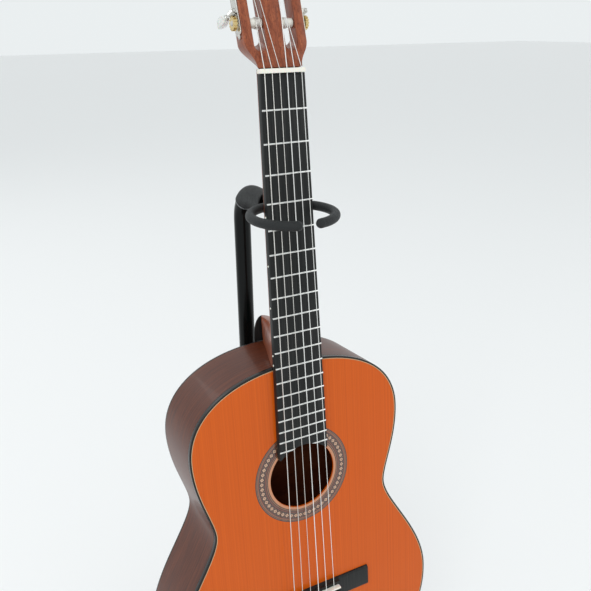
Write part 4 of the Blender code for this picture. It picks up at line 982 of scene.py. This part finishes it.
def make_button(number):
    side, s = roller_at(number)
    x = GEAR_SIDE + GEAR_THICK / 2
    place = HEAD @ Matrix.Translation((side * x, ROLLER_DEPTH, s + WORM_RISE)) @ ALONG_Y
    body, node_name = f"button_{number + 1}", f"tuner_button_{number + 1}"
    profile = [(0.0015, -0.0070), (0.0017, -0.0066), (0.0017, -0.0052)]
    for i in range(WORM_TURNS):
        z = -0.0050 + 0.0100 * i / WORM_TURNS
        profile += [(WORM_ROOT, z), (WORM_RADIUS, z + 0.0005), (WORM_RADIUS, z + 0.0009),
            (WORM_ROOT, z + 0.0014)]
    back = HEAD_THICK - ROLLER_DEPTH
    profile += [(0.0017, 0.0052), (0.0017, back + 0.002), (0.0024, back + 0.0025), (0.0024, back + 0.0045),
        (0.0017, back + 0.005)]
    profile += [(0.0017, back + 0.008)]
    done(turn(profile, 28), f"worm_{number + 1}", NICKEL, body, place)
    start = back + 0.0045
    button = block((-0.00375, -0.00625, start), (0.00375, 0.00625, start + 0.0215))
    pick(button, everything)
    bpy.ops.mesh.subdivide(number_cuts=1)
    pick(button, lambda at, normal: normal.z < -0.9)
    bpy.ops.transform.resize(value=(0.75, 0.48, 1), center_override=(0, 0, start))
    pick(button, lambda at, normal: normal.z > 0.9)
    bpy.ops.transform.resize(value=(0.8, 0.72, 1), center_override=(0, 0, start))
    deselect()
    modify(button, "BEVEL", width=0.0009, segments=2, limit_method="ANGLE", angle_limit=math.radians(40))
    modify(button, "SUBSURF", levels=2, render_levels=2)
    done(outward(button), f"button_{number + 1}_oval", PEARL, body, place, (node_name,), smooth=60)
    for end, z in (("upper", -0.0060), ("lower", 0.0058)):
        low, high = sorted((side * (-x + PLATE_SIDE + 0.0011), side * 0.0022))
        lug = block((low, -0.0022, z - 0.0007), (high, 0.0022, z + 0.0007))
        cut(lug, turn([(0.0019, z - 0.002), (0.0019, z + 0.002)], 20))
        done(round_edges(lug, 0.0002), f"worm_lug_{number + 1}_{end}", NICKEL, "guitar", place)


# ---- Stand ----

RING_PIN = RING_CENTRE + Vector((0, RING_RADIUS, 0))
LEGS = (("front_left", math.radians(-50)), ("front_right", math.radians(50)), ("rear", math.pi))


def azimuth(angle):
    return Vector((math.sin(angle), -math.cos(angle), 0))


def make_post():
    top = Vector((0, POST_Y, RING_CENTRE.z))
    end = Vector((0, RING_PIN.y + 0.0175, RING_CENTRE.z))
    upper = pipe([Vector((0, POST_Y, 0.4301)), top, end], POST_RADIUS, BEND_RADIUS, 12)
    done(upper, "upper_tube", PAINT, "upper_post", WORLD, ("post_upper",), smooth=40)
    centre = top - Vector((0, BEND_RADIUS, BEND_RADIUS))
    half_way = Vector((0, 1, 1)).normalized()
    along = Vector((0, -1, 1)).normalized()
    grip = 4 / 3 * math.tan(math.pi / 16) * BEND_RADIUS
    level = Vector((0, -grip, 0))
    knots = [
        (centre + BEND_RADIUS * half_way, -grip * along, grip * along),
        (centre + Vector((0, 0, BEND_RADIUS)), -level, level), (end, Vector(), Vector()),
    ]
    sleeve = bar(knots, POST_RADIUS + 0.0017, 12)
    round_edges(sleeve, 0.0005, 2, 60)
    done(sleeve, "bend_cover", ROUGH, "upper_post", WORLD, ("bend_sleeve",), smooth=40)
    # A thin ring of pale metal round the cover's lower edge: a painted highlight that stands in for the light
    # line along that edge.
    r = POST_RADIUS
    place = Matrix.Translation(knots[0][0] - 0.0008 * along) @ Matrix.Rotation(math.pi / 4, 4, "X")
    rim = turn([(r + 0.0002, 0), (r + 0.0018, 0.0001), (r + 0.0018, 0.0006), (r + 0.0002, 0.0007)], 48, place)
    done(rim, "sleeve_rim_painted_highlight", ZINC_AND_RIM_HIGHLIGHT, "upper_post", WORLD)
    low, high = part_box("post_lower")[0][2], 0.545
    r = LOWER_RADIUS
    lower = turn([(r, low), (r, high - 0.001), (r - 0.0005, high), (r - 0.0015, high)], 64,
        Matrix.Translation(POST))
    pick(lower, lambda at, normal: normal.z > 0.9)
    extrude((0, 0, -0.02))
    done(outward(lower), "lower_tube", PAINT, "stand", WORLD, ("post_lower",))


def make_ring():
    for name, side, tip in (("left", -1, -21.0), ("right", 1, 11.5)):
        start = side * (math.pi - 2 * math.asin(0.0085 / (2 * RING_RADIUS)))
        tip = math.radians(tip)
        angles = [start + (tip - start) * i / 14 for i in range(15)]
        points = [RING_CENTRE + RING_RADIUS * azimuth(angle) for angle in angles]
        arm = smooth_bar(points, RING_ROD, 10, 10)
        dome_end(arm, points[-1], points[-1] - points[-2], RING_ROD)
        body = f"arm_{name}"
        done(arm, f"ring_{name}", FOAM, body, WORLD, (f"ring_arm_{name}",), smooth=50)
        low, high = (0.0002, 0.0081) if side < 0 else (-0.0081, -0.0002)
        eye = turn([(0.0050, low), (0.0054, low + 0.0004), (0.0054, high - 0.0004), (0.0050, high)], 40)
        cut(eye, turn([(0.0029, -0.02), (0.0029, 0.02)], 32))
        done(eye, f"ring_eye_{name}", CAST, body, Matrix.Translation(RING_PIN))
        middle = Vector((0, 0, (low + high) / 2))
        root = RING_PIN + middle + 0.0040 * (points[0] - RING_PIN).normalized()
        web = smooth_bar([root, points[0] + middle * 0.6, points[1]], 0.0034, 6, 6)
        done(web, f"ring_web_{name}", CAST, body, WORLD)
    make_ring_block()


def make_ring_block():
    width, height, lug = 0.006, 0.0115, 0.003
    piece = block((-width, -0.0010, -height), (width, 0.0172, height))
    cut(piece, block((-0.02, -0.02, -height + lug), (0.02, 0.0095, height - lug)))
    for z in (-height, height - lug):
        cut(piece, turn([(0.0055, z), (0.0055, z + lug)], 40), "UNION")
    round_edges(piece, 0.0006, 3, 40)
    done(piece, "ring_clevis", CAST, "upper_post", Matrix.Translation(RING_PIN), ("ring_block",))
    profile = [
        (0.0020, -height + 0.0005), (0.0025, -height + 0.001), (0.0025, height - 0.001),
        (0.0020, height - 0.0002),
    ]
    pin = turn(profile, 32)
    done(pin, "ring_pivot_pin", ZINC_AND_RIM_HIGHLIGHT, "upper_post", Matrix.Translation(RING_PIN))


def make_clamp():
    low, high, r = CLAMP_LOW, CLAMP_HIGH, CLAMP_RADIUS
    axis = Matrix.Translation((0, POST_Y, KNOB_Z)) @ ALONG_Y
    profile = [(0.0135, low), (r - 0.001, low), (r, low + 0.001), (r, low + 0.014),
        (r - 0.001, low + 0.015), (r - 0.001, low + 0.018)]
    profile += [(r, low + 0.019), (r, high - 0.004), (r - 0.003, high), (0.0114, high)]
    collar = turn(profile, 64, Matrix.Translation(POST))
    boss = turn([(0.0095, 0.010), (0.009, 0.0265), (0.0084, 0.027)], 40, axis)
    cut(collar, boss, "UNION")
    cut(collar, turn([(0.0111, 0.4), (0.0111, 0.7)], 64, Matrix.Translation(POST)))
    cut(collar, turn([(0.0130, 0.4), (0.0130, 0.5453)], 64, Matrix.Translation(POST)))
    cut(collar, turn([(0.0035, 0.0), (0.0035, 0.05)], 32, axis))
    round_edges(collar, 0.0005, 2, 50)
    done(collar, "clamp_sleeve", CAST, "stand", WORLD, ("clamp_collar",))
    star = turn([(KNOB_RADIUS, 0.0331), (KNOB_RADIUS, 0.0448)], 80)
    for vertex in star.data.vertices:
        angle = math.atan2(vertex.co.y, vertex.co.x)
        grow = 0.85 + 0.15 * math.cos(KNOB_LOBES * angle)
        vertex.co.x *= grow
        vertex.co.y *= grow
    round_edges(star, 0.0022, 4, 40)
    done(star, "knob_grip", PLASTIC, "knob", axis, ("clamp_knob",), smooth=40)
    done(turn([(0.0068, 0.0302), (0.0070, 0.0335)], 40), "knob_neck", PLASTIC, "knob", axis)
    screw = [(0.0026, 0.0110), (0.0030, 0.0116)]
    for i in range(14):
        z = 0.0118 + 0.0013 * i
        screw += [(0.0030, z), (0.0027, z + 0.0006)]
    done(turn(screw, 28), "knob_screw", ZINC_AND_RIM_HIGHLIGHT, "knob", axis)
    done(turn([(0.0075, 0.0447), (0.0070, 0.0456), (0.0030, 0.0460)], 40), "knob_cap", PLASTIC, "knob", axis)


def leg_frame(angle):
    """A leg's own frame at its hinge: X outwards along the floor, Z up."""
    out = azimuth(angle)
    side = Vector((0, 0, 1)).cross(out)
    turned = Matrix((out, side, Vector((0, 0, 1)))).transposed().to_4x4()
    return Matrix.Translation(POST + HINGE_OUT * out + Vector((0, 0, HINGE_Z))) @ turned


def make_hub():
    low, high, r = HUB_LOW, HUB_HIGH, HUB_RADIUS
    profile = [(r - 0.003, low), (r, low + 0.003), (r, high - 0.016), (r - 0.001, high - 0.014),
        (r - 0.001, high - 0.002), (r - 0.003, high)]
    hub = turn(profile, 64, Matrix.Translation(POST))
    for name, angle in LEGS:
        place = leg_frame(angle)
        for side in (-1, 1):
            y = side * 0.0110
            lug = turn([(0.009, y - 0.0025), (0.009, y + 0.0025)], 40, ALONG_Y)
            pick(lug, lambda at, normal: at.x < -0.001, "verts")
            bpy.ops.transform.translate(value=(-0.018, 0, 0))
            deselect()
            cut(hub, move(round_edges(outward(lug), 0.0006, 2, 50), place), "UNION")
    for name, angle in LEGS:
        place = leg_frame(angle)
        for side in (-1, 1):
            cut(hub, turn([(0.0033, side * 0.006), (0.0033, side * 0.03)], 24, place @ ALONG_Y))
    cut(hub, turn([(0.0130, 0.1540), (0.0130, 0.3)], 64, Matrix.Translation(POST)))
    round_edges(hub, 0.0005, 2, 60)
    done(hub, "hub_casting", CAST, "stand", WORLD, ("hub",))


def make_legs():
    slope = math.atan2(HINGE_Z - LEG_END_Z, LEG_REACH - HINGE_OUT)
    along = Vector((math.cos(slope), 0, -math.sin(slope)))
    length = (LEG_REACH - HINGE_OUT) / math.cos(slope)
    for name, angle in LEGS:
        place = leg_frame(angle)
        body = f"leg_{name}"
        tube = pipe([-0.010 * along, (length - 0.0005) * along], LEG_RADIUS, 0, 10)
        cut(tube, turn([(0.0036, -0.02), (0.0036, 0.02)], 32, ALONG_Y))
        round_edges(tube, 0.0006, 2, 60)
        done(tube, f"{body}_tube", PAINT, body, place, (body,), smooth=40)
        r, top = 0.015, 0.0240
        profile = [(r - 0.0028, 0.0), (r - 0.0012, 0.0004), (r - 0.0002, 0.0016), (r, 0.0040)]
        for i in range(3):
            z = 0.0055 + 0.0030 * i
            profile += [(r, z), (r - 0.0008, z + 0.0007), (r - 0.0008, z + 0.0013), (r, z + 0.0020)]
        profile += [(r - 0.0010, 0.0175), (r - 0.0036, 0.0215), (r - 0.0062, top - 0.0006), (r - 0.0080, top)]
        tip = place @ (length * along)
        foot = turn(profile, 48, Matrix.Translation((tip.x, tip.y, 0)))
        done(foot, f"foot_{name}_cap", RUBBER, body, WORLD, (f"foot_{name}",))
        collar = turn([(0.0088, -0.026), (0.0100, -0.0250), (0.0104, -0.012)], 40)
        tilt = Matrix.Rotation(math.pi / 2 + slope, 4, "Y")
        done(collar, f"foot_{name}_neck", RUBBER, body, place @ Matrix.Translation(length * along) @ tilt)
        ends = [(0.0030, 0.0138), (0.0055, 0.0140), (0.0053, 0.0152), (0.0040, 0.0158)]
        pin = [(r, -y) for r, y in ends[::-1]] + ends
        done(turn(pin, 32), f"hinge_pin_{name}", ZINC_AND_RIM_HIGHLIGHT, "stand", place @ ALONG_Y, (f"leg_pin_{name}",))


def make_cradle():
    for name, side in (("left", -1), ("right", 1)):
        low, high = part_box(f"cradle_pad_{name}")
        x = (low[0] + high[0]) / 2
        lift = 0.011 * math.cos(LEAN)
        front, back = Vector((x, low[1], high[2] - lift)), Vector((x, high[1], low[2] + lift))
        forward = (front - back).normalized()
        up = GUITAR.to_3x3() @ Vector((0, 0, 1))
        front, back = front - 0.0010 * forward, back + 0.0010 * forward
        elbow, tip = back - 0.013 * forward, front + 0.009 * forward
        root = Vector((side * 0.0172, POST_Y - 0.004, 0.202))
        arm = pipe([root, elbow, tip, tip + 0.038 * up], CRADLE_ROD, 0.009, 8)
        dome_end(arm, tip + 0.038 * up, up, CRADLE_ROD)
        done(arm, f"cradle_bar_{name}", PAINT, "stand", WORLD, (f"cradle_arm_{name}",), smooth=40)
        pad = pipe([front, back], PAD_RADIUS, 0, 12)
        round_edges(pad, 0.002, 4, 50)
        done(pad, f"cradle_foam_{name}", FOAM, "stand", WORLD, (f"cradle_pad_{name}",), smooth=50)


def dress_inside():
    for name in ("lining_top", "lining_back", "neck_block", "tail_block", "brace_upper", "brace_lower"):
        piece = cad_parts[name]
        for held in piece.material_slots:
            held.material = PALE


# ---- Room ----

def make_room():
    deselect()
    bpy.ops.mesh.primitive_plane_add(size=60, location=(0, 0, -0.0005))
    floor = bpy.context.object
    floor.name = "floor"
    made, tree, shader = finish("pale_floor", 0.45)
    shader.inputs["Base Color"].default_value = (0.86, 0.86, 0.86, 1)
    floor.data.materials.append(made)
    world = bpy.data.worlds.new("studio")
    bpy.context.scene.world = world
    world.use_nodes = True
    background = world.node_tree.nodes["Background"]
    background.inputs["Color"].default_value = (0.90, 0.94, 0.95, 1)
    background.inputs["Strength"].default_value = 0.92
    for name, at, size, power in (
        ("key", (-2.2, -3.0, 3.4), 2.4, 60), ("fill", (3.2, -2.0, 2.2), 2.4, 14),
        ("rim", (-1.8, 3.0, 3.2), 2.4, 24),
    ):
        bpy.ops.object.light_add(type="AREA", location=at)
        light = bpy.context.object
        light.name = name
        light.data.size = size
        light.data.energy = power
        aim = Vector((0, NUT.y, 0.6)) - Vector(at)
        light.rotation_euler = aim.to_track_quat("-Z", "Y").to_euler()


def make_camera():
    data = bpy.data.cameras.new("camera")
    camera = bpy.data.objects.new("camera", data)
    bpy.context.scene.collection.objects.link(camera)
    data.lens, data.sensor_width = 42.06, 36
    look = Vector((0.42748, 0.82637, -0.36658))
    up = Vector((0.17907, 0.32006, 0.93032))
    right = look.cross(up).normalized()
    turned = Matrix((right, right.cross(look), -look)).transposed().to_4x4()
    camera.matrix_world = Matrix.Translation(NUT + Vector((-0.3352, -0.6708, 0.0475))) @ turned
    bpy.context.scene.camera = camera
    bpy.context.scene.view_settings.view_transform = "Standard"


make_camera()
make_top()
make_ribs()
make_back()
make_fingerboard()
make_neck()
make_heel_cap()
make_nut_and_saddle()
make_bridge()
make_strings()
make_head()
make_tuner_plates()
for string in range(6):
    make_roller(string)
    make_button(string)
make_post()
make_ring()
make_clamp()
make_hub()
make_legs()
make_cradle()
dress_inside()
make_room()
